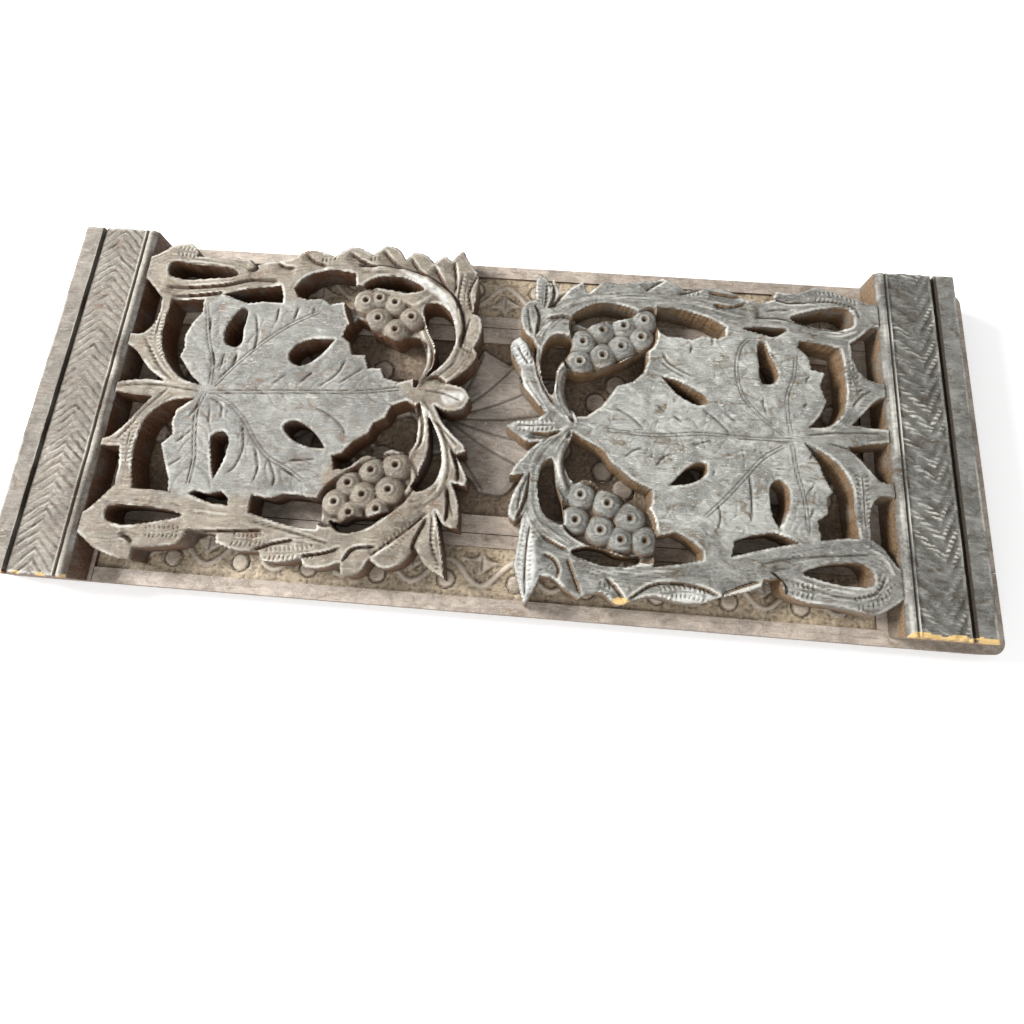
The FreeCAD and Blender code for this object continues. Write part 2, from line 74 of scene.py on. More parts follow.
# ---- carving outlines: (x, y) points of a smooth run, (x, y, 1) marks a sharp corner
LEFT_OUTER = [
    (-150.5, 60, 1), (-147, 61), (-141, 65.5), (-134, 67.5, 1), (-130, 64), (-130, 61.5, 1), (-120, 61),
    (-107, 61.5, 1), (-104, 59.5, 1), (-97, 61), (-90, 62.5, 1), (-83, 67), (-76, 66.5), (-72, 65, 1),
    (-65, 70), (-60, 69), (-56, 67, 1), (-50, 71.5), (-45, 69.5), (-42, 65.5, 1), (-38, 69), (-33, 67.5),
    (-30, 64.5, 1), (-26, 68), (-23, 66, 1), (-18.5, 71.5, 1), (-15.5, 66), (-11.5, 61), (-11, 52),
    (-12, 43, 1), (-8.5, 41), (-8, 33), (-10, 28, 1), (-8.5, 25), (-11, 20), (-19, 12.5, 1), (-12, 10.5),
    (-9.5, 7, 1), (-12, 2.5), (-18, 1), (-23, 3, 1), (-18, -5), (-10, -12, 1), (-9, -14.5, 1),
    (-13, -16, 1), (-10, -20), (-8, -24), (-7.5, -28, 1), (-13, -27, 1), (-10, -34), (-9, -44, 1),
    (-14, -43), (-18, -38, 1), (-15, -48), (-12, -62, 1), (-19, -58), (-24, -52, 1), (-28, -57.5),
    (-35, -60), (-40, -57, 1), (-43, -62), (-49, -63.5), (-50.5, -59, 1), (-57, -61.5), (-63, -61.5),
    (-65, -58.5, 1), (-72, -60.5), (-79, -60.5), (-81, -57.5, 1), (-90, -57.5), (-97, -55.5, 1),
    (-98, -52.5, 1), (-108, -51.5, 1), (-111, -56.5), (-119, -58.5), (-127, -59.5, 1), (-127, -64, 1),
    (-133, -63.5), (-142, -60.5), (-147, -57), (-150.5, -55, 1),
]
LEFT_OPENINGS = [
    [(-151, 51, 1), (-147, 48), (-140.5, 41.5, 1), (-140, 36), (-141, 30), (-144, 25.5), (-151, 25, 1)],
    [(-151, 20.5, 1), (-146, 18), (-138, 10), (-131, 5.5, 1), (-140, 5.5), (-151, 3.5, 1)],
    [(-151, 0, 1), (-142, -1), (-134, -1.5, 1), (-139, -9), (-146, -18), (-151, -19.5, 1)],
    [(-151, -22.5, 1), (-142, -22, 1), (-140.5, -29), (-140, -37, 1), (-143, -41), (-148, -47),
     (-151, -48, 1)],
    [(-140, 57.5), (-130, 57.5), (-112, 55.5), (-111, 53.5), (-120, 51.5), (-134, 50.5), (-140, 52.5)],
    [(-140, -45.5), (-134, -44.3), (-120, -44.8), (-112, -46.5), (-120, -49), (-134, -51.5), (-140, -49.5)],
    [(-136, 41, 1), (-123, 42, 1), (-122, 36, 1), (-125, 31, 1), (-127, 25, 1), (-126, 20, 1),
     (-127, 16, 1), (-120, 8, 1), (-115.5, 4.5, 1), (-125, 7.5), (-133, 16), (-136.5, 25)],
    [(-117, -1, 1), (-123, -6, 1), (-124, -11, 1), (-122.5, -16, 1), (-126, -20, 1), (-123, -27, 1),
     (-120, -33, 1), (-119, -38, 1), (-133, -37.5, 1), (-136, -24), (-134, -10), (-127, -3)],
    [(-115, 44.5, 1), (-106, 47.5), (-92, 50, 1), (-90.5, 46), (-90, 42.5, 1), (-97, 42.5, 1),
     (-104, 41, 1)],
    [(-86, 49, 1), (-83, 54), (-76, 58), (-68, 58.5), (-62, 57.5, 1), (-61, 50), (-62, 43, 1),
     (-65, 44.5, 1), (-70, 43, 1), (-74, 45.5, 1), (-80, 44.5, 1), (-84, 45.5, 1)],
    [(-58, 52.5), (-54, 56), (-47, 57.5), (-40, 56.5), (-33, 52.5), (-39, 50.5), (-48, 51.5)],
    [(-31, 45.5), (-26, 46), (-21, 42.5), (-18.5, 36), (-18, 28), (-22, 20), (-27.5, 14.5), (-25.5, 20),
     (-25.5, 27), (-29, 34), (-31.5, 41)],
    [(-59, 39, 1), (-55, 37), (-52, 33), (-46, 31), (-41, 29), (-36, 32), (-32.5, 32, 1), (-29.5, 26),
     (-29, 20), (-32, 13.5, 1), (-38, 11.5, 1), (-44, 13, 1), (-46, 17, 1), (-51, 16.5, 1), (-53, 22, 1),
     (-58, 22, 1), (-60, 27, 1), (-63, 29, 1), (-62, 33, 1)],
    [(-34, 4, 1), (-30.5, 2, 1), (-29, -5), (-29, -12), (-32, -16), (-38, -16), (-42, -19), (-47, -19),
     (-53, -24), (-58, -25, 1), (-59.5, -20, 1), (-56, -18.5, 1), (-52.5, -14, 1), (-47, -10, 1),
     (-45.5, -6, 1), (-41.5, -3.5, 1), (-39.5, 1.5, 1)],
    [(-25.5, 0, 1), (-22, -6), (-18.7, -14), (-18, -22), (-20.5, -28.5), (-26, -31), (-28.5, -29),
     (-26, -24), (-23.5, -16), (-24, -7)],
    [(-111, -38.2, 1), (-109, -37, 1), (-104, -38, 1), (-99, -36.5, 1), (-96, -39, 1), (-95.5, -41.5, 1),
     (-103, -40.8)],
    [(-87, -43.5, 1), (-87, -37, 1), (-80, -38, 1), (-76, -36, 1), (-70, -35.5, 1), (-65, -36.5, 1),
     (-61.5, -36, 1), (-61, -42), (-61, -47.5, 1), (-70, -47.3), (-80, -45.3)],
    [(-57.5, -44), (-53, -44.5), (-49, -42), (-42, -41.5), (-36, -39.5), (-39, -43.5), (-46, -47.5),
     (-53, -47.8)],
    [(-106, 38.5), (-103.7, 38), (-103.6, 30), (-104, 22.5), (-109, 22.5), (-111, 27), (-108.5, 35)],
    [(-83, 20), (-81, 24), (-75, 27), (-66, 27.5, 1), (-69, 22.5), (-73, 18), (-78, 15.5), (-82, 17)],
    [(-107, -15.5), (-103, -13.5), (-100.3, -16), (-100.3, -22), (-101.5, -27.5), (-103, -31.5, 1),
     (-104.5, -27.5), (-106, -22)],
    [(-80, -9.5), (-77, -7.3), (-72, -8.5), (-66, -13), (-63, -17, 1), (-70, -16.8), (-77, -13.8)],
]
RIGHT_OUTER = [
    (150.5, 57, 1), (145, 58.5), (138, 60), (131, 62.5), (125, 64, 1), (118, 61), (109, 61, 1),
    (108, 57, 1), (103, 55.5), (97, 56.5, 1), (90, 60), (80, 61, 1), (73, 59.5), (70, 61), (64, 64, 1),
    (56, 62), (48, 60.5), (40, 61, 1), (37, 58), (33.5, 56, 1), (32, 60.5, 1), (27, 57), (22, 52, 1),
    (22, 57), (19.5, 61, 1), (18.8, 56, 1), (17.5, 60), (13.5, 62.8, 1), (12.5, 57), (13, 51, 1), (9, 49),
    (7.5, 43), (9, 37), (13, 33, 1), (15, 30, 1), (14.8, 24, 1), (11, 31), (8, 34, 1), (4.5, 30.5),
    (5.5, 26), (9, 20.5, 1), (9, 16), (14, 10), (20, 3, 1), (16, -0.5), (10, -0.8), (5, -3, 1), (9, -6),
    (14, -9), (18.5, -8.5, 1), (15, -12), (9.5, -19), (8, -22.5, 1), (13.5, -21.5, 1), (10, -29),
    (8.8, -37), (11, -39.5, 1), (14, -37, 1), (13, -46), (12, -55, 1), (17, -69, 1), (20.5, -62),
    (22, -58, 1), (26, -58.5), (31, -62), (36, -65, 1), (39, -63, 1), (44, -62.5), (50, -66),
    (54, -64.5, 1), (62, -62), (72, -63.5), (80, -63), (86, -60.5, 1), (95, -58), (100, -56, 1),
    (101, -53.5, 1), (107, -52.5, 1), (108, -57), (115, -60), (125, -60.5), (132, -61.5), (139, -62.5),
    (145, -59.5), (150.5, -55.5, 1),
]
RIGHT_OPENINGS = [
    [(151, 47, 1), (147, 47.5), (142, 43.5), (137.5, 40, 1), (138, 34), (140.5, 28), (144.5, 25),
     (151, 24, 1)],
    [(151, 19, 1), (146, 17), (141, 12), (136, 6.5, 1), (141, 6), (151, 5.5, 1)],
    [(151, 0.5, 1), (144, -0.5), (134, -2.5, 1), (139, -8), (145, -14.5), (151, -15.5, 1)],
    [(151, -21, 1), (144, -20.5), (140.5, -25), (140, -36, 1), (144, -39.5), (148, -45), (151, -46, 1)],
    [(115, 50), (120, 52), (128, 54.3), (137, 54.8), (139, 52.5), (139, 48), (136, 46.2), (128, 46.2),
     (120, 47.3)],
    [(115, -50), (120, -47.5), (128, -45.7), (136, -45.3), (139, -48), (139, -52), (135, -53.2), (128, -53),
     (121, -51.8)],
    [(118, 40, 1), (117, 37, 1), (121, 33, 1), (122, 28, 1), (127, 27, 1), (125, 22, 1), (127, 15, 1),
     (124, 9, 1), (120, 4.5, 1), (126, 5), (131, 8.5), (134, 15), (134.5, 25), (134, 33), (133, 37.5, 1),
     (126, 39)],
    [(118, -2, 1), (126, -6.5), (131, -11.5), (134, -18), (134.5, -27), (135.5, -36, 1), (130, -36.5),
     (122, -38, 1), (121, -31, 1), (125, -28, 1), (125, -22, 1), (127, -20, 1), (124, -14, 1),
     (123, -10, 1)],
    [(96, 43.7), (101, 44.6), (107, 44.8), (113, 44.3), (108, 41), (102, 42)],
    [(62, 51, 1), (69, 50.5), (76, 49), (83, 46.8), (89, 43.5, 1), (88.5, 40, 1), (86, 38.5, 1),
     (80, 39.5, 1), (76, 37.5, 1), (70, 38.5, 1), (66, 38.5, 1), (63, 40, 1), (62, 45)],
    [(28, 44.2), (32, 48), (38, 50.8), (44, 51.3), (50, 49.8), (54, 48.2), (51, 45.5), (46, 44), (41, 43),
     (35, 41.5), (31, 42.8)],
    [(28.5, 34.5), (25, 36.2), (21, 35.5), (17.5, 30), (17, 22), (18.5, 15), (22, 10.5), (23, 15),
     (23.3, 20), (25.5, 25), (28, 30)],
    [(27.5, 21.5, 1), (33, 20.5), (39, 22.5), (45, 25), (50, 27), (55, 31), (58.5, 33, 1), (58.5, 27, 1),
     (57, 22, 1), (53, 18, 1), (47, 16, 1), (44, 11, 1), (41, 7, 1), (36, 3, 1), (32, 2.5, 1), (28.8, 7),
     (26.8, 13)],
    [(31, -4, 1), (29.7, -8), (28.2, -13), (28.7, -18), (32, -23), (37, -22), (44, -25), (50, -27),
     (55, -30), (59.5, -32.5, 1), (61, -29, 1), (61, -24, 1), (57, -22.5, 1), (53, -20.5, 1), (49, -17, 1),
     (46, -15, 1), (43, -11, 1), (40, -9, 1), (35, -6.5, 1)],
    [(23.5, -15), (20.5, -17), (19, -23), (19.5, -30), (22, -36), (26, -38.5), (29, -39), (28.5, -32),
     (26, -25)],
    [(63, -41, 1), (70, -39, 1), (76, -42, 1), (79.5, -45, 1), (79.5, -48, 1), (72, -50), (62, -51.8, 1),
     (62.8, -46)],
    [(91, -40.5, 1), (97, -38, 1), (105, -36.5, 1), (110, -38, 1), (113.5, -39.5, 1), (103, -42.2),
     (96, -44.2), (90, -46, 1)],
    [(32.5, -48.8), (38, -46.5), (44, -47), (50, -49), (58, -48.8), (57, -51), (50, -52.8), (42, -52.3)],
    [(102, 38), (104, 38, 1), (106, 33), (109, 24.5), (107, 21.3), (103, 21), (101.7, 28)],
    [(64.5, 21, 1), (70, 19.8), (76, 17), (81, 13.8), (81.5, 11.3), (78, 10.5), (73, 12.5), (68, 16.5)],
    [(105, -18.5), (108, -17), (110.7, -19.5), (111, -26), (109, -31.5), (107, -34.5, 1), (105, -31),
     (104.3, -25)],
    [(67.5, -21.8, 1), (70, -19), (74, -14.8), (78, -12.5), (81, -13), (81, -16), (78.5, -18.8),
     (74, -20.8)],
]


# ---- lines and grids
def smooth_run(points):
    """Points along a smooth curve through the given points (centripetal Catmull-Rom)."""
    p = np.array([q[:2] for q in points], float)
    if len(p) == 2:
        n = max(1, int(np.hypot(*(p[1] - p[0])) / STEP))
        return [tuple(p[0] + (p[1] - p[0]) * i / n) for i in range(n)]
    p = np.vstack([2 * p[0] - p[1], p, 2 * p[-1] - p[-2]])
    out = []
    for a, b, c, d in zip(p[:-3], p[1:-2], p[2:-1], p[3:]):
        t = [0.0]
        for u, v in ((a, b), (b, c), (c, d)):
            t.append(t[-1] + max(1e-6, np.hypot(*(v - u))) ** 0.5)

        def between(i, j, u, v):
            return (t[j] - s) / (t[j] - t[i]) * u + (s - t[i]) / (t[j] - t[i]) * v

        for s in np.linspace(t[1], t[2], max(1, int(np.hypot(*(c - b)) / STEP)), endpoint=False):
            bc = between(1, 2, b, c)
            abc = between(0, 2, between(0, 1, a, b), bc)
            bcd = between(1, 3, bc, between(2, 3, c, d))
            out.append(tuple(between(1, 2, abc, bcd)))
    return out


def open_line(points):
    return smooth_run(points) + [tuple(points[-1][:2])]


def closed_line(points):
    """A closed outline through the points, with sharp corners where the third value is 1."""
    sharp = [i for i, p in enumerate(points) if len(p) == 3]
    n = len(points)
    if not sharp:
        whole = smooth_run(list(points[-2:]) + list(points) + list(points[:3]))
        half = len(whole) // 2
        x, y = points[0][:2]
        first, last = (int(np.argmin([np.hypot(q[0] - x, q[1] - y) for q in run[:half]]))
                       for run in (whole, whole[::-1]))
        return whole[first:len(whole) - 1 - last]
    out = []
    for k, a in enumerate(sharp):
        b = sharp[(k + 1) % len(sharp)]
        if b <= a:
            b += n
        out += smooth_run([points[i % n] for i in range(a, b + 1)])
    return out


def ease(v):
    """A smooth step from 0 to 1."""
    v = np.clip(v, 0.0, 1.0)
    return v * v * (3 - 2 * v)


def peak(distance, half):
    """1 on a line, straight down to 0 at the half width on both sides of it."""
    return np.clip(1 - np.abs(distance) / half, 0, 1)


def bulge(distance, half):
    """1 on a line, rounded down to 0 at the half width on both sides of it."""
    return np.clip(1 - (np.abs(distance) / half) ** 2, 0, 1)


class Carving:
    """Wood seen from above: how far inside its outline each grid point is, and how high its surface."""

    def __init__(self, x0, x1, y0, y1, level, extra_x=(), grid=GRID):
        nx, ny = (int(round(size / grid)) for size in (x1 - x0, y1 - y0))
        self.grid = grid
        self.x = np.unique(np.concatenate([np.linspace(x0, x1, nx + 1), np.array(extra_x, float)]))
        self.y = np.linspace(y0, y1, ny + 1)
        self.X, self.Y = np.meshgrid(self.x, self.y, indexing="ij")
        shape = self.X.shape
        self.inside = np.full(shape, -FAR)    # distance in from the outline
        self.z = np.full(shape, float(level))
        self.tone = np.zeros(shape)           # below 0 darker, painted shade in cuts and creases; above 0 bare wood
        self.stain = np.ones(shape)           # 1 where old stain is left
        self.pale = np.zeros(shape)           # 1 where the wood is pale: worn patches, and along the rims partly painted highlight
        self.faced = np.zeros(shape)          # 1 where the grain of a face goes down a steep side
        self.rub_and_highlight = np.ones(shape)            # how pale the raised spots turn: partly rubbed wear, partly painted highlight
        self.ripple = 0.0                     # unevenness of the outline

    def window(self, points, reach):
        xs = [p[0] for p in points]
        ys = [p[1] for p in points]
        i0, i1 = np.searchsorted(self.x, (min(xs) - reach, max(xs) + reach))
        j0, j1 = np.searchsorted(self.y, (min(ys) - reach, max(ys) + reach))
        return slice(i0, i1), slice(j0, j1)

    def near(self, points, reach):
        """(window, distance, place along, side) for a line through the points."""
        w = self.window(points, reach)
        X, Y = self.X[w], self.Y[w]
        dist = np.full(X.shape, FAR)
        along = np.zeros(X.shape)
        side = np.ones(X.shape)
        run = 0.0
        for (ax, ay), (bx, by) in zip(points[:-1], points[1:]):
            i0, i1 = np.searchsorted(self.x[w[0]], (min(ax, bx) - reach, max(ax, bx) + reach))
            j0, j1 = np.searchsorted(self.y[w[1]], (min(ay, by) - reach, max(ay, by) + reach))
            x, y = X[i0:i1, j0:j1], Y[i0:i1, j0:j1]
            ux, uy = bx - ax, by - ay
            size = math.hypot(ux, uy)
            if size < 1e-9 or x.size == 0:
                continue
            t = np.clip(((x - ax) * ux + (y - ay) * uy) / size ** 2, 0, 1)
            ex, ey = x - ax - t * ux, y - ay - t * uy
            d = np.hypot(ex, ey)
            closer = d < dist[i0:i1, j0:j1]
            dist[i0:i1, j0:j1][closer] = d[closer]
            along[i0:i1, j0:j1][closer] = (run + t * size)[closer]
            side[i0:i1, j0:j1][closer] = np.where(ux * ey - uy * ex >= 0, 1.0, -1.0)[closer]
            run += size
        return w, dist, along, side, run

    def within(self, line):
        """True at the grid points inside a closed line."""
        hit = np.zeros(self.X.shape, bool)
        for (ax, ay), (bx, by) in zip(line, line[1:] + line[:1]):
            j0, j1 = np.searchsorted(self.y, (min(ay, by), max(ay, by)))
            for j in range(j0, j1):
                cut = ax + (self.y[j] - ay) / (by - ay) * (bx - ax)
                hit[:, j] ^= self.x < cut
        return hit

    def depth_in(self, line, reach=REACH):
        """Signed distance to a closed line, positive inside it, cut off at reach."""
        field = np.full(self.X.shape, -reach)
        field[self.within(line)] = reach
        w, dist, _, _, _ = self.near(line + line[:1], reach)
        field[w] = np.sign(field[w]) * np.minimum(dist, reach)
        return field

    # ---- carving strokes
    def level(self, line, z, slope):
        """Lower or raise the wood inside a closed line to z, over a short slope."""
        f = ease((self.depth_in(line, 3.0) + slope / 2) / slope)
        self.z += (z - self.z) * f
        return f

    def stroke(self, points, reach, fade):
        """(window, distance, side, strength) for a smooth line; the strength fades out at its ends."""
        w, dist, along, side, run = self.near(open_line(points), reach)
        return w, dist, side, np.clip(np.minimum(along, run - along) / fade, 0.0, 1)

    def groove(self, points, width, depth, fade=2.0, sharp=True):
        """A V or round cut along a line, fading out at its ends."""
        w, dist, _, ends = self.stroke(points, width, fade)
        shape = peak(dist, width / 2)
        if not sharp:
            shape = ease(shape)
        self.z[w] -= depth * shape * ends
        # A sharp cut also gets a darker colour: painted shade in the cut.
        if sharp:
            self.tone[w] = np.minimum(self.tone[w], -1.1 * depth * shape * ends)

    def ridge(self, points, width, height):
        w, dist, _, ends = self.stroke(points, width, 2.0)
        self.z[w] += height * bulge(dist, width / 2) * ends

    def vein(self, points, depth):
        """Two fine cuts with a low rib between them, in a wide shallow valley."""
        half, reach = 0.6, 4.0
        w, dist, _, ends = self.stroke(points, reach, 2.0)
        valley = 0.3 * ease(1 - dist / reach)
        cuts = peak(dist - half, 0.5)
        self.z[w] -= (depth * cuts + valley * depth) * ends
        # The two cuts get a darker colour: painted shade.
        self.tone[w] = np.minimum(self.tone[w], -0.8 * cuts * ends)

    def nick(self, x, y, turn, bent, size, gap, width, depth):
        """A short cut that sets off from a gap beside a point and bends half way."""
        start, mid = ((x + r * math.cos(turn), y + r * math.sin(turn)) for r in (gap, size / 2))
        end = (mid[0] + size / 2 * math.cos(bent), mid[1] + size / 2 * math.sin(bent))
        self.groove([start, mid, end], width, depth, 1.0)

    def veinlets(self, points, spacing, depth, seed):
        """Thin curved cuts that branch off a vein to both sides, leaning towards its tip."""
        rng = np.random.default_rng(seed)
        spine = open_line(points)
        since_last = 4.0
        for k in range(2, len(spine) - 1):
            x, y = spine[k]
            dx, dy = x - spine[k - 1][0], y - spine[k - 1][1]
            since_last += math.hypot(dx, dy)
            if since_last < spacing:
                continue
            since_last = 0.0
            for hand in (-1, 1):
                size = rng.uniform(7, 15)
                turn = math.atan2(dy, dx) + hand * rng.uniform(0.75, 1.0)
                bent = turn - hand * rng.uniform(0.25, 0.6)
                self.nick(x, y, turn, bent, size, 1.2, 1.15, depth * rng.uniform(0.6, 1.1))

    def step(self, points, width, depth, side):
        """Lowers the wood on one side of a line, most at the line, so that one leaf lies under the next."""
        w, dist, where, ends = self.stroke(points, width, 2.5)
        self.z[w] -= depth * peak(dist, width) * ends * (where == side)

    def ticks(self, points, offset, length, pitch, depth):
        """A row of short gouge cuts across a line, on both sides of it."""
        w, dist, along, _, run = self.near(open_line(points), offset + length)
        row = ease((dist - offset) / 0.4) * ease((offset + length - dist) / 0.5)
        cut = np.clip(np.cos(2 * math.pi * (along + 0.35 * dist) / pitch), 0, 1)
        ends = (along > pitch / 2) & (along < run - pitch / 2)
        self.z[w] -= depth * row * cut * ends

    def dome(self, x, y, radius, low, height, eye=True):
        """A berry: a steep-sided bead. A grape has a drilled eye with a raised ring round it."""
        r = np.hypot(self.X - x, self.Y - y)
        bead = r < radius
        top = low + height * np.sqrt(np.clip(1 - (r / radius) ** 2.4, 0, 1))
        if eye:
            dip = peak(r - 2.7, 0.6)
            top += 0.22 * bulge(r - 2.0, 0.7) - 0.22 * dip - 1.5 * ease((1.2 - r) / 0.6)
            # The drilled eye and the dip round the ring get a darker colour: painted shade.
            eye_shade = np.where(r < 0.8, -1.0, -0.5 * ease((1.7 - r) / 0.7))
            eye_shade = np.minimum(eye_shade, -0.3 * dip)
            self.tone = np.where(bead, np.minimum(self.tone * 0.3, eye_shade), self.tone)
            self.rub_and_highlight[bead] = 0.35
        self.z = np.where(bead, np.maximum(self.z, top), self.z)

    def comb(self, points, width):
        """Fine tool lines that run along a stem."""
        pitch, depth = 1.5, 0.22
        w, dist, _, _, _ = self.near(open_line(points), width)
        x, y = self.X[w], self.Y[w]
        line = np.clip(np.cos(2 * math.pi * (dist + 0.35 * noise(x, y, 5, 61)) / pitch), 0, 1) ** 2
        on = ease((width / 2 - dist) / 1.5) * (0.55 + 0.6 * noise(x, y, 4, 62))
        self.z[w] -= depth * line * on
        # The tool lines get a darker colour: painted shade.
        self.tone[w] = np.minimum(self.tone[w], -0.6 * line * np.clip(on, 0, 1))

    def cracks(self, line, count, seed, longest, depth):
        """Short curved checks and scratches of age inside a closed line."""
        rng = np.random.default_rng(seed)
        spots = np.argwhere(self.depth_in(line) > 2.5)
        for i, j in spots[rng.integers(0, len(spots), count)]:
            turn = rng.normal(0, 0.9)
            bend = rng.normal(0, 0.5)
            size = rng.uniform(0.3, 1.0) * longest
            self.nick(self.x[i], self.y[j], turn, turn + bend, size, 0, 1.1, depth * rng.uniform(0.4, 1.0))

    def round_edges(self, radius):
        """Ease the top edge of the wood all round its outline."""
        t = np.clip(self.inside / radius, 0, 1)
        self.z -= radius * (1 - np.sqrt(np.clip(1 - (1 - t) ** 2, 0, 1)))


def noise(X, Y, scale, seed):
    """Smooth value noise from -1 to 1, the same each run."""
    size = 64
    table = np.random.default_rng(seed).random((size, size))
    u, v = X / scale, Y / scale
    i, j = np.floor(u).astype(int), np.floor(v).astype(int)
    s, t = ease(u - i), ease(v - j)

    def pick(a, b):
        return table[a % size, b % size]

    return ((pick(i, j) * (1 - s) + pick(i + 1, j) * s) * (1 - t)
            + (pick(i, j + 1) * (1 - s) + pick(i + 1, j + 1) * s) * t) * 2 - 1


# ---- mesh from a carving
def blurred(a, n):
    """Running mean of n points along both ways of the grid."""
    k = np.ones(n) / n
    out = np.pad(a, n, mode="edge")
    for axis in (0, 1):
        out = np.apply_along_axis(lambda v: np.convolve(v, k, "same"), axis, out)
    return out[n:-n, n:-n]


def add_object(name, data):
    obj = bpy.data.objects.new(name, data)
    bpy.context.scene.collection.objects.link(obj)
    return obj


def quads_of(c):
    """Which grid squares are wood, with no squares that touch only at a corner and no loose bits."""
    keep = c.inside > -0.5 * c.grid
    q = keep[:-1, :-1] & keep[1:, :-1] & keep[:-1, 1:] & keep[1:, 1:]
    while True:
        a, b, d, e = q[:-1, :-1], q[1:, :-1], q[:-1, 1:], q[1:, 1:]
        one = a & e & ~b & ~d
        two = b & d & ~a & ~e
        if not one.any() and not two.any():
            break
        i, j = np.nonzero(one)
        q[i, j] = False
        i, j = np.nonzero(two)
        q[i + 1, j] = False
    best = np.zeros_like(q)
    left = q.copy()
    while left.any():
        start = tuple(np.argwhere(left)[0])
        seen = np.zeros_like(q)
        todo = deque([start])
        seen[start] = True
        while todo:
            i, j = todo.popleft()
            for m, n in ((i + 1, j), (i - 1, j), (i, j + 1), (i, j - 1)):
                if 0 <= m < q.shape[0] and 0 <= n < q.shape[1] and q[m, n] and not seen[m, n]:
                    seen[m, n] = True
                    todo.append((m, n))
        left &= ~seen
        if seen.sum() > best.sum():
            best = seen
    return best


def mesh_from(c, name, low):
    """A closed mesh: the carved top, upright walls round the outline and a flat underside at low."""
    q = quads_of(c)
    gx, gy = np.gradient(c.inside, c.x, c.y)
    slope = np.hypot(gx, gy) + 1e-9
    qi, qj = np.nonzero(q)
    corner = np.zeros(c.X.shape, bool)
    for di, dj in ((0, 0), (1, 0), (1, 1), (0, 1)):
        corner[qi + di, qj + dj] = True
    vi, vj = np.nonzero(corner)
    index = np.full(c.X.shape, -1)
    index[vi, vj] = np.arange(len(vi))
    pad = np.pad(q, 1)
    sides = []
    # each wall edge a-b keeps the wood on its left
    for (di, dj), a, b in (((0, -1), (0, 0), (1, 0)), ((1, 0), (1, 0), (1, 1)),
                           ((0, 1), (1, 1), (0, 1)), ((-1, 0), (0, 1), (0, 0))):
        open_side = q & ~pad[1 + di:pad.shape[0] - 1 + di, 1 + dj:pad.shape[1] - 1 + dj]
        i, j = np.nonzero(open_side)
        sides.append(np.stack([index[i + a[0], j + a[1]], index[i + b[0], j + b[1]]], 1))
    a, b = np.concatenate(sides).T
    rim = np.unique(a)
    # the rim moves from the nearest grid points onto the outline itself
    x, y, z = c.X[vi, vj], c.Y[vi, vj], c.z[vi, vj]
    ri, rj = vi[rim], vj[rim]
    move = np.clip(c.inside[ri, rj], -c.grid, c.grid)
    move += c.ripple * noise(x[rim], y[rim], 1.3, 21)
    x[rim] -= move * gx[ri, rj] / slope[ri, rj]
    y[rim] -= move * gy[ri, rj] / slope[ri, rj]
    top = np.stack([x, y, z], 1)
    bottom = top[rim]
    bottom[:, 2] = low
    below = np.full(len(vi), -1)
    below[rim] = len(vi) + np.arange(len(rim))
    faces = [np.stack([index[qi, qj], index[qi + 1, qj], index[qi + 1, qj + 1], index[qi, qj + 1]], 1),
             np.stack([b, a, below[a], below[b]], 1)]
    mesh = bpy.data.meshes.new(name)
    mesh.from_pydata((np.concatenate([top, bottom]) * MM).tolist(), [], np.concatenate(faces).tolist())
    bm = bmesh.new()
    bm.from_mesh(mesh)
    loose = [e for e in bm.edges if e.is_boundary]
    bmesh.ops.triangle_fill(bm, use_beauty=True, use_dissolve=False, edges=loose, normal=(0, 0, -1))
    bm.normal_update()
    bm.to_mesh(mesh)
    bm.free()
    obj = add_object(name, mesh)
    paint_carve(mesh, c)
    mesh.shade_smooth()
    mesh.set_sharp_from_angle(angle=math.radians(50))
    return obj


def paint_carve(mesh, c):
    """Stores what the material reads at each corner of a face.

    carve: looks up, painted shade in hollows, raised spots pale (partly wear, partly painted highlight),
    tone (painted shade in the cuts below the middle, bare wood above). stain: old stain, pale wood (worn,
    and on the rims partly painted highlight).
    """
    def read(items, name, width, kind):
        values = np.zeros(len(items) * width, kind)
        items.foreach_get(name, values)
        return values.reshape(-1, width)

    def store(name, *channels):
        data = np.ones((len(corners), 4))
        for k, values in enumerate(channels):
            data[:, k] = values
        mesh.color_attributes.new(name, "FLOAT_COLOR", "CORNER").data.foreach_set("color", data.ravel())

    mean, wide = blurred(c.z, 5), blurred(c.z, 15)
    # Painted shade: spots lower than the wood round them are darkened.
    hollow_shade = np.clip((mean - c.z) / 0.5, 0, 1) * 0.6 + np.clip((wide - c.z) / 2.2, 0, 1) * 0.6
    # Spots higher than the wood round them turn pale: partly wear, partly painted highlight.
    raised_wear_and_highlight = np.clip((c.z - mean) / 0.35, 0, 1) * np.clip(0.5 + 0.9 * noise(c.X, c.Y, 9, 71), 0, 1) * c.rub_and_highlight
    place = read(mesh.vertices, "co", 3, float) / MM
    corners = read(mesh.loops, "vertex_index", 1, int)[:, 0]
    i, j = (np.clip(np.searchsorted(line, place[:, k] - c.grid / 2), 0, len(line) - 1)[corners]
            for k, line in enumerate((c.x, c.y)))
    up = ease((read(mesh.polygons, "normal", 3, float)[:, 2] - 0.25) / 0.5)
    up = np.repeat(up, read(mesh.polygons, "loop_total", 1, int)[:, 0])
    up = np.maximum(up, c.faced[i, j])
    store("carve", up, np.clip(hollow_shade, 0, 1)[i, j] * up, raised_wear_and_highlight[i, j] * up, 0.5 + 0.5 * c.tone[i, j])
    store("stain", c.stain[i, j], c.pale[i, j])


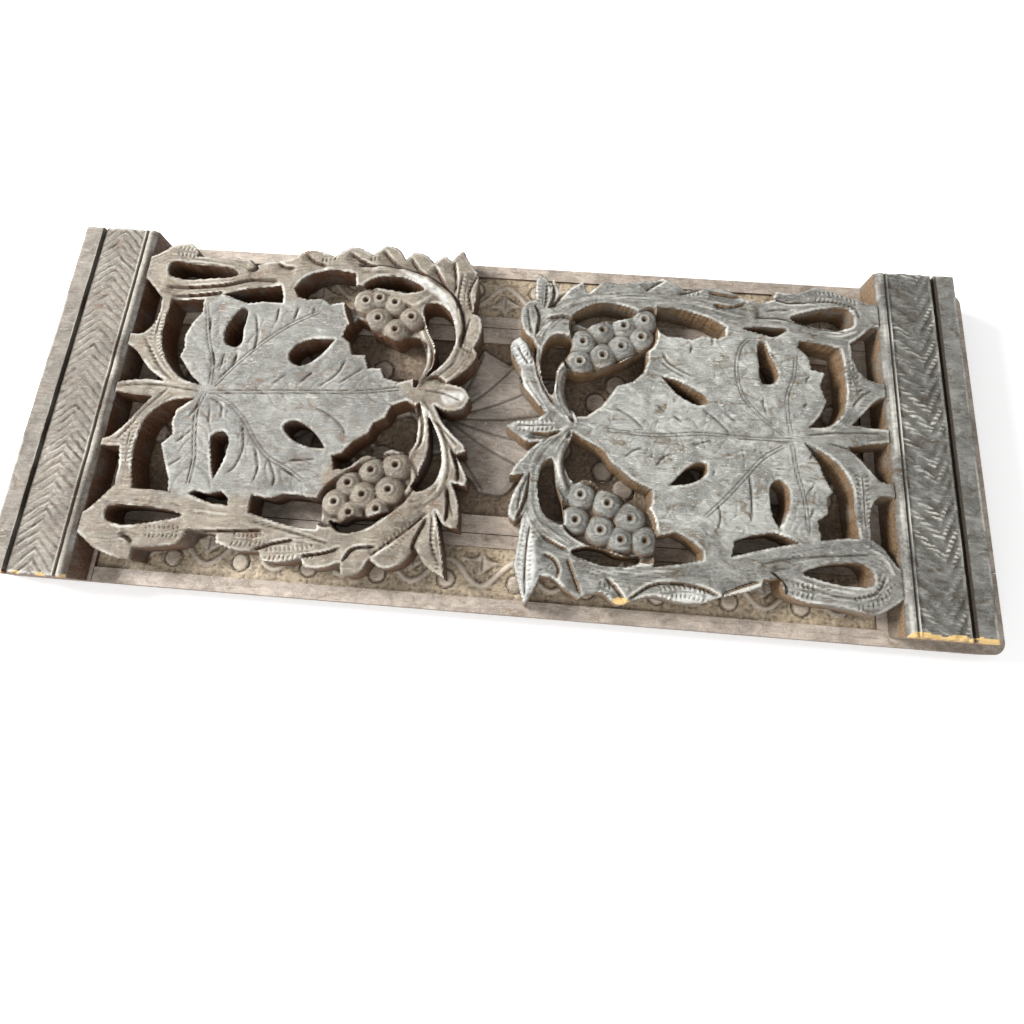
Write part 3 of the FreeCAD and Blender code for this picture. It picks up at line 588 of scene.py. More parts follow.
# ---- materials
MIX_A, MIX_B, MIX_RESULT = 6, 7, 2    # the colour sockets of a Mix node
PALE_WOOD = (0.62, 0.62, 0.59)
BARE_WOOD = (0.62, 0.42, 0.17)
FOOT_TINT_START, FOOT_TINT_FULL = 0.1475, 0.150    # metres out from the middle
def new_material(name, rough):
    """(material, its shader's inputs, a function that adds a node, a function that sets inputs)"""
    m = bpy.data.materials.new(name)
    m.use_nodes = True
    tree = m.node_tree

    def give(inputs, values):
        for key, value in values.items():
            if isinstance(value, bpy.types.NodeSocket):
                tree.links.new(value, inputs[key])
            else:
                inputs[key].default_value = value

    def add(kind, values, **settings):
        node = tree.nodes.new("ShaderNode" + kind)
        for key, value in settings.items():
            setattr(node, key, value)
        give(node.inputs, values)
        return node.outputs

    shader = tree.nodes["Principled BSDF"].inputs
    shader["Roughness"].default_value = rough
    return m, shader, add, give


def times(colour, k):
    return tuple(min(1.0, v * k) for v in colour)


def wood_material(name, dusty, cut, groove, worn, stained=None, foot=None, bump=0.35, mottle=1.0):
    """Weathered walnut: grey on faces that look up, brown on the walls, dark in the cuts as painted shade.

    Wood with a stained colour reads the colour attributes of a carving, other wood its normals.
    """
    m, shader, add, give = new_material(name, 0.62)
    where = add("TexCoord", {})

    def tex(scale, detail, squash=(1, 1, 1), twist=0.0):
        place = add("Mapping", {"Vector": where["Object"], "Scale": squash})
        return add("TexNoise", {"Vector": place["Vector"], "Scale": scale, "Detail": detail,
                                "Roughness": 0.62, "Distortion": twist})["Fac"]

    def spread(value, low, high, most=1.0):
        return add("MapRange", {"Value": value, "From Min": low, "From Max": high, "To Max": most})["Result"]

    def mix(factor, a, b, blend="MIX"):
        a, b = (v + (1,) if isinstance(v, tuple) else v for v in (a, b))
        sockets = {"Factor": factor, MIX_A: a, MIX_B: b}
        return add("Mix", sockets, data_type="RGBA", blend_type=blend)[MIX_RESULT]

    grain = tex(1100, 6, (0.1, 1, 1), 0.4)
    cloud = tex(70, 6, (1, 1, 1), 0.8)
    blot = tex(240, 5, (0.6, 1, 1), 1.2)
    speck = tex(1700, 4)
    scratch = tex(420, 3, (0.25, 1, 1), 3.0)
    wall = mix(spread(grain, 0.38, 0.62), times(cut, 0.5), cut)
    wall = mix(spread(cloud, 0.5, 0.75), wall, times(dusty, 0.55))
    face = mix(spread(cloud, 0.36, 0.62), times(dusty, 0.55), times(dusty, 1.05))
    face = mix(spread(blot, 0.52, 0.74, 0.75 * mottle), face, times(dusty, 1.5))
    face = mix(spread(blot, 0.46, 0.3, 0.8 * mottle), face, times(groove, 2.6))
    face = mix(spread(grain, 0.55, 0.72, 0.7), face, times(groove, 2.0))
    face = mix(spread(speck, 0.56, 0.72, 0.7), face, times(dusty, 1.7))
    face = mix(spread(scratch, 0.62, 0.68, 0.45 * mottle), face, worn)
    if stained:
        carve = add("Attribute", {}, attribute_name="carve")
        stain = add("Attribute", {}, attribute_name="stain")
        parts = add("SeparateColor", {"Color": carve["Color"]})
        patches = add("SeparateColor", {"Color": stain["Color"]})
        face = mix(patches["Red"], face, stained, "MULTIPLY")
        # Pale wood: worn patches, and along the rims partly painted highlight.
        face = mix(spread(patches["Green"], 0.0, 1.0, 0.8), face, PALE_WOOD)
        if foot:
            x = add("SeparateXYZ", {"Vector": where["Object"]})["X"]
            out = add("Math", {0: x}, operation="ABSOLUTE")["Value"]
            face = mix(spread(out, FOOT_TINT_START, FOOT_TINT_FULL), face, foot, "MULTIPLY")
        # Painted shade: the hollows take the groove colour.
        face = mix(spread(parts["Green"], 0.1, 0.8), face, groove)
        # Raised spots take the worn colour: partly wear, partly painted highlight.
        face = mix(spread(parts["Blue"], 0.1, 1.0, 0.8), face, worn)
        # Tone below the middle darkens: painted shade in the cuts.
        face = mix(spread(carve["Alpha"], 0.45, 0.05), face, times(groove, 0.6))
        face = mix(spread(carve["Alpha"], 0.6, 0.9), face, BARE_WOOD)
        up = parts["Red"]
    else:
        up = spread(add("SeparateXYZ", {"Vector": where["Normal"]})["Z"], 0.3, 0.7)
    height = add("Math", {0: grain, 1: blot}, operation="ADD")["Value"]
    relief = add("Bump", {"Strength": bump, "Distance": 0.0008, "Height": height})
    give(shader, {"Base Color": mix(up, wall, face), "Normal": relief["Normal"]})
    return m


def metal_material(name, colour):
    m, shader, add, give = new_material(name, 0.45)
    where = add("TexCoord", {})
    cloud = add("TexNoise", {"Vector": where["Object"], "Scale": 400, "Detail": 6})
    ramp = m.node_tree.nodes.new("ShaderNodeValToRGB")
    dark, bright = ramp.color_ramp.elements
    dark.position, dark.color = 0.35, times(colour, 0.35) + (1,)
    bright.position, bright.color = 0.65, colour + (1,)
    give(ramp.inputs, {"Fac": cloud["Fac"]})
    give(shader, {"Metallic": 1.0, "Base Color": ramp.outputs["Color"]})
    return m


# ---- book ends
FACET_WIDTH, FACET_DROP, FACET_RISE = 1.8, 2.2, 1.9
V_AT, V_HALF, V_DEPTH = 3.8, 0.7, 1.1
BAND_START, BAND_MIDDLE, BAND_HALF, BAND_BOW = 4.5, 13.05, 8.6, 0.6
SQUARE_START, SQUARE_END, SQUARE_DEPTH = 21.6, 23.4, 3.0
EDGE_STRIP_DROP = 0.4
KNUCKLE_ROOM = 2.8      # radius of the notch round a hinge's knuckles
KNUCKLE_SPARE = 0.3     # room at both ends of the knuckles
LEAF_ROOM = 1.12        # depth of the housing for a hinge leaf
CHIP_X, CHIP_Y, CHIP_RADIUS = 51, -65, 3.2    # bare spot of the right book end's front edge


def bar(x0, x1, y0, y1, z0, z1):
    v = [(x, y, z) for x in (x0, x1) for y in (y0, y1) for z in (z0, z1)]
    f = [(0, 1, 3, 2), (4, 6, 7, 5), (0, 4, 5, 1), (2, 3, 7, 6), (0, 2, 6, 4), (1, 5, 7, 3)]
    return v, f


def rod(x, z, radius, y0, y1, n=24):
    v = []
    for y in (y0, y1):
        v += [(x + radius * math.cos(2 * math.pi * k / n), y, z + radius * math.sin(2 * math.pi * k / n))
              for k in range(n)]
    f = [tuple(range(n - 1, -1, -1)), tuple(range(n, 2 * n))]
    f += [(k, (k + 1) % n, n + (k + 1) % n, n + k) for k in range(n)]
    return v, [tuple(reversed(face)) for face in f]


def cut_away(obj, shapes):
    """Cuts simple shapes out of a piece and keeps the result as its mesh."""
    for verts, faces in shapes:
        mesh = bpy.data.meshes.new("tool")
        mesh.from_pydata([[v * MM for v in p] for p in verts], [], faces)
        tool = add_object("tool", mesh)
        mod = obj.modifiers.new("cut", "BOOLEAN")
        mod.operation = "DIFFERENCE"
        mod.solver = "MANIFOLD"
        mod.object = tool
        bpy.context.view_layer.update()
        result = bpy.data.meshes.new_from_object(obj.evaluated_get(bpy.context.evaluated_depsgraph_get()))
        obj.modifiers.clear()
        obj.data = result
        bpy.data.objects.remove(tool)


def hinge_room(side):
    """Shapes of the leaf housings and knuckle notches under a book end, from the CAD hinges."""
    shapes = []
    for spot in ("front", "back"):
        low, high = node_box(side + "_" + spot + "_hinge_bookend_leaf")
        axis_low, axis_high = node_box(side + "_" + spot + "_hinge_pin")
        x = (axis_low[0] + axis_high[0]) / 2
        z = (axis_low[2] + axis_high[2]) / 2
        inner = high[0] if side == "left" else low[0]
        x0, x1 = sorted((x, inner))
        shapes.append(bar(x0, x1, low[1], high[1], BOARD_LOW - 1, BOARD_LOW + LEAF_ROOM))
        shapes.append(rod(x, z, KNUCKLE_ROOM, low[1] - KNUCKLE_SPARE, high[1] + KNUCKLE_SPARE))
    return shapes


def foot_height(u):
    """Foot moulding: inner facet, V groove, bowed band, square groove and edge strip."""
    drop = np.where(u < FACET_WIDTH, FACET_DROP - FACET_RISE * np.clip(u, 0, None) / FACET_WIDTH, 0.3)
    drop += V_DEPTH * peak(u - V_AT, V_HALF)
    drop = np.where(u > BAND_START, BAND_BOW - BAND_BOW * bulge(u - BAND_MIDDLE, BAND_HALF), drop)
    drop = np.where(u >= SQUARE_START, SQUARE_DEPTH, drop)
    return BOARD_HIGH - np.where(u > SQUARE_END, EDGE_STRIP_DROP, drop)


def groove_shade(u):
    """Painted shade in the two grooves of the foot moulding."""
    square = (u > SQUARE_START - 0.2) & (u < SQUARE_END + 0.2)
    return np.maximum(peak(u - V_AT, V_HALF + 0.1), square * 1.0)


def herringbone(c, side, u):
    """Slanting gouge cuts that meet along the foot's bowed band, with other tools on each side."""
    def wave(run, pitch, turn=0.0):
        return np.cos(2 * math.pi * run / pitch + turn)

    band = ease((u - 4.7) / 0.6) * ease((21.3 - u) / 0.6)
    wobble = 0.7 * noise(c.X, c.Y, 7, 5) + 0.3 * noise(c.X, c.Y, 2.2, 8)
    if side == "left":
        pitch, meet, deep, dark = 3.7, 13.0, 0.6, 0.4
        run = c.Y + 0.85 * np.abs(u - meet) + wobble
        cut = np.clip(wave(run, pitch), 0, 1) * (0.75 + 0.35 * noise(c.X, c.Y, 2.5, 9))
        cut += 0.3 * np.clip(wave(run, pitch / 2, 1.2), 0, 1)
    else:
        pitch, meet, deep, dark = 6.8, 15.2, 0.7, 0.5
        slant = np.where(u < meet, 0.85 * (meet - u), 1.7 * (u - meet))
        rows = wave(c.Y - slant + wobble, pitch)
        dash = wave(c.Y + 0.3 * u + 0.8 * noise(c.X, c.Y, 4, 7), 1.75)
        cut = 1 - np.clip(rows + 0.45, 0, 1) * (0.5 + 0.5 * np.clip(dash + 0.3, -0.6, 1))
    cut *= 0.8 + 0.4 * noise(c.X, c.Y, 3, 6)
    c.z -= deep * cut * band
    # The cuts get a darker colour: painted shade in them.
    c.tone = np.minimum(c.tone, -dark * np.clip(cut, 0, 1) * band)


def book_end(side, sign, outer, openings, leaf, strokes):
    """One pierced book end: the foot's moulding, the carved panel and the room for its hinges."""
    low, high = node_box(side + "_bookend")
    edges = [sign * (FOOT_IN + at + d) for at in (SQUARE_START, SQUARE_END) for d in (-0.01, 0.01)]
    c = Carving(low[0], high[0], low[1], high[1], PANEL_TOP, extra_x=edges)
    panel = c.depth_in(closed_line(outer))
    for o in openings:
        panel = np.minimum(panel, -c.depth_in(closed_line(o)))
    u = sign * c.X - FOOT_IN
    x_far = high[0] if side == "right" else -low[0]
    foot = np.minimum.reduce([u, x_far - sign * c.X, c.Y - low[1], high[1] - c.Y])
    c.inside = np.minimum(np.maximum(panel, foot), REACH)
    c.ripple = 0.1
    carve_panel(c, closed_line(leaf), strokes)
    c.round_edges(0.9)
    in_foot = u >= 0
    c.faced[(sign * c.X > FOOT_IN + 1.5) & (foot > 1.0)] = 1.0
    c.z = np.where(in_foot, foot_height(u), c.z)
    herringbone(c, side, u)
    c.tone = np.where(in_foot & (c.tone > -0.6), np.minimum(c.tone, -0.6 * groove_shade(u)), c.tone)
    c.z -= np.where(in_foot, 0.7 * (1 - np.clip(foot / 0.8, 0, 1)) ** 2, 0)
    c.z = np.minimum(c.z, BOARD_HIGH)
    # bare wood where the front corner of the foot and one lobe are chipped
    ragged = 1.6 + 1.3 * noise(c.X, c.Y, 3.1, 51)
    chip_width, bare = (ragged, 1.0) if side == "right" else (ragged - 1.2, 0.8)
    c.tone = np.where(in_foot & (c.Y - low[1] < chip_width), bare, c.tone)
    if side == "right":
        c.tone = np.where(np.hypot(c.X - CHIP_X, (c.Y - CHIP_Y) * 1.7) < CHIP_RADIUS, 1.0, c.tone)
    c.z += 0.07 * noise(c.X, c.Y, 2.5, 11) + 0.05 * noise(c.X, c.Y, 1.1, 12)
    c.z += 0.06 * noise(0.2 * c.X, c.Y, 1.0, 13)
    obj = mesh_from(c, side + "_bookend_carved", BOARD_LOW)
    cut_away(obj, hinge_room(side))
    obj.data.materials.clear()
    obj.data.materials.append(WOOD[side])
    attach(obj, side + "_bookend")
    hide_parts(side + "_bookend")


# ---- carving strokes in millimetres
# root: where the leaf's veins meet. veinlets: spacing, depth. cracks: count, seed, longest, depth.
# pale: outlines of worn wood. combs: line, width. steps: line, the side that lies lower.
# ridges: line, width, height. sunk: outline, height. grapes: x, y, radius.
LEFT_STROKES = {
    "root": (-113, 3),
    "veinlets": (5.2, 0.3),
    "vein_depth": 0.4,
    "cracks": (60, 81, 6.0, 0.16),
    "pale": [
        [(-21, 7.5), (-16, 9.5), (-11, 8), (-13, 5), (-19, 3.5)],
        [(-29, 2), (-25, 1), (-21, -6), (-17.5, -13), (-16, -22), (-18, -31), (-19, -24), (-20, -15),
         (-24, -6)],
        [(-44, 60.5), (-34, 58), (-24, 51), (-18.5, 43), (-17, 30), (-20.5, 40), (-26, 48), (-36, 54.5)],
    ],
    "combs": [
        ([(-149, -54), (-142, -57), (-132, -56), (-118, -53), (-104, -48), (-88, -47.5), (-62, -50.5),
          (-46, -50), (-33, -44), (-24, -36), (-17, -26), (-16, -14), (-24, -2)], 8),
        ([(-149, -44), (-140, -42), (-124, -42.5), (-108, -46)], 6),
        ([(-149, 56), (-141, 61), (-128, 59.5), (-112, 58), (-100, 55.5), (-85, 59), (-70, 62.5), (-55, 62),
          (-38, 60), (-25, 53), (-18, 45), (-14, 34), (-15, 22), (-24, 12)], 8),
        ([(-149, 49), (-140, 45.5), (-124, 46.5), (-108, 51)], 6),
        ([(-137, 42), (-139, 30), (-136, 17), (-127, 7)], 5),
        ([(-137, -38), (-138, -22), (-135, -9), (-125, 0)], 5),
    ],
    "veins": [
        [(-113, 2), (-92, 3.5), (-75, 4.8), (-52, 6.5), (-36, 9)],
        [(-112, 4), (-113, 14), (-117, 25), (-119, 33), (-121.5, 41)],
        [(-111, 4), (-104, 14), (-95, 24), (-85, 33), (-73, 40)],
        [(-113, 3), (-115, -5), (-114, -15), (-112, -25), (-112, -36)],
        [(-110, 1), (-103, -2), (-96, -8), (-90, -16), (-84, -22), (-76, -26), (-68, -31)],
    ],
    "lines": [
        [(-118, 35), (-117, 27)], [(-114.5, 20), (-112, 13)], [(-91, 41), (-91, 33)],
        [(-83, 42), (-84, 35)], [(-76, 42), (-77, 38)], [(-100, 37), (-98, 30), (-97.5, 24), (-98, 20)],
        [(-109, 20), (-110, 10)], [(-104, 20), (-105, 13)], [(-60, 20), (-63, 13), (-70, 7)],
        [(-52, 17), (-57, 13), (-62, 9)], [(-82, 12), (-88, 7)], [(-72, 14), (-77, 8)],
        [(-114, -2), (-118, -9)], [(-115, -13), (-121, -19.5)], [(-116, -24), (-122, -29)],
        [(-112, 0), (-106, -3), (-105, -9)], [(-110, -5), (-109.5, -11)],
        [(-90, -18), (-87, -26), (-88, -33)], [(-84, -22), (-80, -30), (-80, -34)],
        [(-78, -26), (-72, -29)], [(-76, -23), (-65, -21.5)],
        [(-96, -10), (-94, -19), (-96, -27), (-99, -30)], [(-70, -1), (-63, -4), (-57, -9), (-55.5, -12)],
        [(-143.5, 24), (-138, 16), (-133, 10), (-127, 5.5)], [(-149, 2), (-135, 3.5), (-115, 2)],
        [(-144, -20), (-140, -14), (-136, -7), (-131, -1), (-128, 3)],
        [(-17.5, 61), (-18.5, 50), (-18, 42)], [(-12.5, 42), (-14, 36), (-16, 30)],
        [(-9, 25), (-15, 28), (-16, 33)], [(-12, 5), (-20, 8), (-29, 9)],
        [(-19, -39), (-18, -50), (-14, -58)], [(-11, -22), (-14, -15), (-20, -6)],
        [(-12, -13), (-18, -7), (-24, -2)], [(-11, -40), (-13.5, -34), (-15, -28)],
        [(-86, -46.5), (-65, -50.5), (-55, -53)],
    ],
    "steps": [
        ([(-95.5, 60.5), (-92, 59), (-87, 58.8)], -1), ([(-84, 65.5), (-79.5, 62), (-74, 60.5)], -1),
        ([(-66, 67.5), (-60, 64), (-53, 61.5)], -1), ([(-52, 69.5), (-47, 64.5), (-42, 61.5)], -1),
        ([(-40, 66.5), (-36, 61.5), (-32, 58)], -1), ([(-30, 63.5), (-26, 57.5), (-23, 53)], -1),
        ([(-21.5, 66), (-20, 57), (-20, 51)], -1),
        ([(-62, 61.5), (-47, 62), (-34, 59.5), (-24, 54), (-17.5, 45), (-15, 36), (-15.5, 28)], 1),
        ([(-140, 47), (-130, 47), (-115, 49), (-105, 52), (-93, 52.5)], -1),
        ([(-108, 62), (-104, 57.5), (-107.5, 56)], 1), ([(-110, -52), (-97, -51), (-80, -49.5)], -1),
        ([(-84, -57), (-81, -56), (-76, -54), (-68, -52)], -1),
        ([(-66, -58), (-62, -57), (-57, -56), (-51, -53.5)], -1), ([(-38, -52), (-47, -54), (-50, -59)], 1),
        ([(-20, -38), (-28, -46), (-40, -56)], -1), ([(-21, -40), (-25, -52), (-22, -56)], 1),
        ([(-15, -28), (-14, -36), (-14, -42)], 1), ([(-15, -14), (-12, -21), (-11, -27)], 1),
        ([(-12, 43), (-14, 52), (-11, 61)], 1), ([(-19, 12), (-24, 15), (-28, 13)], 1),
        ([(-134, -55), (-130, -56.5), (-127.5, -59)], 1), ([(-137, 43), (-125, 44), (-115, 46)], -1),
    ],
    "ticks": [
        [(-138.5, 36), (-139, 28), (-138, 20), (-134, 13)], [(-138.5, -10), (-139, -20), (-137.5, -30)],
        [(-125, -53.5), (-118, -52.8), (-110, -52.5)], [(-92, -53.5), (-85, -53.5), (-78, -52)],
        [(-79, -58), (-69, -57), (-60, -55.5)], [(-25, -43), (-35, -53)],
        [(-15, 60), (-16, 52), (-15.5, 45)], [(-78, 64), (-70, 66)], [(-58, 66), (-52, 68)],
        [(-128, 62.5), (-139, 63.5)], [(-17, -42), (-16, -50), (-13, -59)],
    ],
    "ridges": [
        ([(-60, 60), (-47, 60.5), (-35, 58), (-25, 52.5), (-19, 46), (-16.5, 37), (-17, 28), (-20, 20),
          (-27, 14)], 3.0, 0.9),
        ([(-29, 5), (-24, -2), (-19.5, -9), (-17, -16), (-16, -24), (-18, -31), (-23, -35), (-30, -37)],
         2.4, 0.9),
        ([(-20, -32), (-26, -34), (-31, -34)], 2.0, 0.7), ([(-36, 44), (-32, 47.5), (-28, 50)], 3.0, 0.9),
        ([(-133, 58.8), (-125, 58.6), (-112, 56.8)], 1.6, 0.6), ([(-137, 42.6), (-115, 46)], 1.6, 0.6),
        ([(-132, -43), (-118, -44), (-104, -44.5), (-88, -45.5)], 2.0, 0.6),
    ],
    "sunk": [
        ([(-31.5, 10), (-29, 14), (-26, 20), (-26.5, 27), (-30, 34), (-33, 41), (-60, 52), (-64, 46),
          (-61, 36), (-55, 30), (-46, 27), (-38, 27), (-31, 30), (-29.5, 22), (-32, 14)], 20.6),
        ([(-29, 3), (-26.5, -5), (-26.5, -12), (-29, -18), (-26, -26), (-30, -35), (-33, -38), (-38, -42),
          (-48, -44), (-60, -46), (-63, -40), (-60, -32), (-52, -25), (-42, -19), (-32, -16), (-30, -8)],
         20.6),
    ],
    "stems": [
        [(-31, 10), (-28.5, 16), (-27.6, 22), (-28.6, 29), (-32.5, 36)],
        [(-29.5, 4), (-28, -5), (-28.3, -12), (-30, -19), (-27.5, -27), (-31, -33)],
    ],
    "grapes": [
        (-56, 46, 4.9), (-44, 46, 4.6), (-50, 38.5, 5), (-36.5, 40, 4.6), (-42.5, 34, 4.8),
        (-50.5, 47.5, 4.0), (-35, -21.5, 4.9), (-44, -24, 4.6), (-52, -29.5, 4.4), (-36.5, -31, 4.9),
        (-46, -33.5, 4.7), (-56, -37, 4.4), (-40, -38.5, 3.8), (-50, -40.5, 4.0),
    ],
}
RIGHT_STROKES = {
    "root": (112, -2),
    "veinlets": (7.5, 0.2),
    "vein_depth": 0.24,
    "cracks": (190, 82, 9.0, 0.34),
    "pale": [
        [(5, 31), (8, 33.5), (11, 30), (14.5, 23), (10, 21.5), (6, 26)],
        [(9.5, 19), (14, 14), (20, 5), (15, 7), (10, 14)],
        [(13, -55), (14.5, -44), (16, -35), (19, -45), (20.5, -56), (17, -68)],
        [(7, -3), (15, -1), (24, -1), (14, -4.5)],
        [(72, -58), (80, -58.5), (85, -60.5), (80, -62.5), (70, -62.5)],
    ],
    "combs": [
        ([(149, -50), (143, -44), (130, -42), (114, -45.5), (98, -48.5), (84, -52), (64, -55.5),
          (46, -54.5), (33, -50), (24, -44), (17, -35), (15.5, -24), (19, -12), (28, -2)], 10),
        ([(148, -52), (141, -57), (128, -57.5), (112, -53.5), (100, -50)], 8),
        ([(149, 52), (142, 58), (126, 58.5), (110, 55), (96, 51), (82, 54), (62, 56.5), (42, 55), (28, 50),
          (20, 43), (15, 33), (15, 22), (20, 10), (30, 0)], 10),
        ([(149, 50), (142, 45), (128, 43.5), (112, 47)], 6),
        ([(137, 38), (138, 26), (135, 12), (128, 4)], 5),
        ([(138, -38), (138, -24), (134, -11), (124, -2)], 5),
    ],
    "veins": [
        [(115, -1), (100, -1.5), (80, -1), (60, -3), (42, -2)],
        [(113, 0), (112, 8), (112, 16), (115, 25), (116, 35)],
        [(111, 0), (100, 9), (94.5, 17), (93, 28), (95, 36), (99, 40)],
        [(113, -2), (114, -12), (116.5, -24), (117.5, -36)],
        [(111, -3), (102, -9), (95, -17), (88, -25), (80, -33)],
    ],
    "lines": [
        [(83.5, 40), (84, 35)], [(76, 36), (75, 31)], [(64, 32), (66, 28), (70, 25), (77, 21.5)],
        [(63, 28), (68, 24), (74, 21)], [(68, 6), (73, 2.5)], [(62, 10), (66, 6)],
        [(106, 35), (107.5, 32.5), (110, 31)], [(113, 33), (114, 30)], [(122, 26), (120, 24), (119.5, 21)],
        [(120.5, 14.5), (117, 12)], [(103, 16), (103, 12), (104.5, 8)], [(50, -13), (54, -9.5), (58, -8)],
        [(62, -15.5), (65.5, -11), (69, -9.5)], [(84.5, -14), (83, -18)],
        [(97, -15), (97.5, -25), (97, -34)], [(85, -27), (86, -32), (85, -37)], [(122, -3), (119, -9)],
        [(121, -17), (117, -22)], [(120, -26), (118, -31)], [(107, -33), (110.5, -31)],
        [(46, 7), (52, 4), (58, -1)], [(80, 9), (86, 4), (91, -1)], [(75, -6), (84, -3)],
        [(88, 8), (93, 4)], [(118, 1), (125, 2.3), (135, 3.2), (147, 3.8)],
        [(126, -1.2), (135, -4), (141, -10), (146, -16)], [(136, 13), (140, 18), (145, 21.5)],
        [(7, 31), (9, 27), (13, 22)], [(11, 17), (15, 11), (20, 5)], [(8, -2.8), (15, -2.4), (24, -1.5)],
        [(14, -7), (20, -6.5), (26, -4)], [(17, -40), (16.3, -52), (17, -66)],
        [(12, -36), (13, -28), (15.5, -21)], [(10, 48), (11, 42), (12.5, 35)],
        [(17.3, 59), (17.3, 53), (17, 47)], [(100, -48), (115, -44.5), (130, -42.8), (140, -41.5)],
        [(104, -49.5), (112, -48.5)], [(124, -57), (134, -57), (141, -54), (144, -48)],
        [(104, 52), (115, 53.3)], [(120, 57), (132, 57.5), (140, 55.5), (142, 50)],
    ],
    "steps": [
        ([(33.5, 54.5), (36, 57.5), (39, 61)], 1), ([(57, 57), (60, 59.5), (65, 63)], 1),
        ([(70, 56.5), (75, 58), (81, 60.5)], 1), ([(82, 59), (89, 58.2), (96, 57.5)], -1),
        ([(84, 54), (91, 53), (98, 55.5)], -1), ([(25.5, 56), (22, 52), (18.5, 48)], 1),
        ([(12.5, 49), (14.5, 44), (14, 35)], 1), ([(18, 43), (25, 44.5), (31, 42.5)], -1),
        ([(5, 27), (8.5, 19), (12.5, 9), (20, 4)], 1), ([(14.5, 31), (15.3, 23), (18.5, 14), (24, 6)], -1),
        ([(14, -5.2), (20, -5.4), (27, -3.5)], -1), ([(15.5, -20), (14.5, -30), (11.5, -39)], 1),
        ([(21, -43), (26, -46), (32, -48.5)], -1), ([(22, -50), (26, -51.5), (28.5, -55), (28, -59)], -1),
        ([(31, -50), (34, -57), (37, -64)], -1), ([(45, -56.5), (49, -60), (53, -65)], -1),
        ([(53, -64), (62, -58), (73, -57), (80, -58), (86, -60.5)], -1),
        ([(86, -60), (92, -57), (100, -54)], 1), ([(103, -50), (108, -54), (109, -59)], 1),
        ([(100, 48.5), (112, 48.5), (124, 45.5), (136, 44.8)], 1),
        ([(108, 57.5), (113, 56), (122, 56.5)], 1), ([(19, 60), (20, 53), (18, 47)], 1),
    ],
    "ticks": [
        [(135, 33), (137.5, 26), (139, 18)], [(138, -12), (138, -22), (138, -33)],
        [(15.5, 60), (15.8, 54), (16, 48)], [(8, -2.8), (15, -2.4), (24, -1.5)],
        [(17, -40), (16.3, -52), (17, -66)], [(64, -61), (74, -59.5), (83, -61)],
        [(124, 60), (134, 59), (141, 56)], [(132, -59.5), (140, -56.5), (145, -50)], [(42, -60), (48, -62)],
        [(7, 31), (9, 27), (13, 22)], [(72, 58.5), (80, 59.5)], [(23, -54), (25, -57)],
        [(110, -55.5), (120, -56.5)],
    ],
    "ridges": [
        ([(15, 34), (18, 39), (23, 41.5), (30, 42)], 3.0, 0.8),
        ([(20, 47), (30, 51), (40, 53.6), (52, 53.5), (69, 55), (84, 51.5), (97, 48.5)], 3.0, 0.8),
        ([(31, 0), (26, 3), (21, 8), (17.5, 14), (15.3, 22), (14.5, 30)], 3.0, 0.8),
        ([(30, -1), (24, -6), (19, -12), (16, -20), (16.5, -28), (18, -36), (24, -42), (33, -46)], 2.6,
         0.8),
        ([(113, 46), (122, 44), (133, 42.5), (141, 45.5)], 2.0, 0.7),
        ([(136, -38), (143, -42), (147, -49)], 2.2, 0.7),
        ([(108, -51), (120, -54.5), (133, -55.5)], 1.8, 0.6),
        ([(36, -54), (46, -55), (60, -54), (80, -51.5)], 2.6, 0.7),
    ],
    "sunk": [
        ([(28, 43), (40, 42), (52, 47), (61, 50), (62, 38), (60, 33), (52, 29), (44, 24.5), (34, 20),
          (28, 21), (26, 26), (28.5, 33)], 20.6),
        ([(31, -24), (29.8, -40), (38, -45.5), (48, -47.5), (61.5, -50), (63, -42), (60.5, -32), (52, -28),
          (42, -24)], 20.6),
        ([(31, 0), (26.8, 4), (24, 10), (23.5, 15), (24.5, 21), (28.5, 22.5), (27.5, 17), (28, 11),
          (30, 5)], 22.8),
        ([(30, -4), (26, -10), (24.6, -16), (26.5, -25), (30, -31), (31.5, -24), (29, -19), (28.5, -13)],
         22.8),
    ],
    "stems": [
        [(30.5, 1), (27, 5.5), (24.8, 10.5), (24, 15), (24.8, 20), (27, 24)],
        [(30, -5), (27, -10), (26, -16), (27.2, -22), (30, -28)],
    ],
    "grapes": [
        (57, 45, 4.8), (49, 42, 4.9), (40.5, 39.5, 4.8), (33, 34, 4.8), (56, 37.5, 4.6), (48.3, 33, 4.8),
        (41, 28.7, 4.8), (32.2, 25.5, 4.8), (35, -27.5, 4.9), (45, -30, 4.8), (53.5, -35, 5.0),
        (33.5, -37, 4.6), (42.8, -40, 4.8), (50.3, -43, 4.3), (59, -42.7, 4.6),
    ],
}


LEFT_LEAF = [
    (-130, 20), (-122, 43), (-90, 44), (-62, 45), (-61, 28), (-48, 19), (-35, 8), (-35, 2), (-48, -10),
    (-61, -26), (-61, -37), (-90, -38), (-121, -38), (-129, -20), (-118, 2),
]
RIGHT_LEAF = [
    (127, 24), (118, 42), (90, 42), (62, 40), (60, 28), (46, 14), (34, 1), (44, -12), (62, -24), (62, -40),
    (90, -40), (121, -38), (128, -20), (118, 0),
]
GRAPE_LOW, GRAPE_HEIGHT = BOARD_LOW + 8.7, 4.4


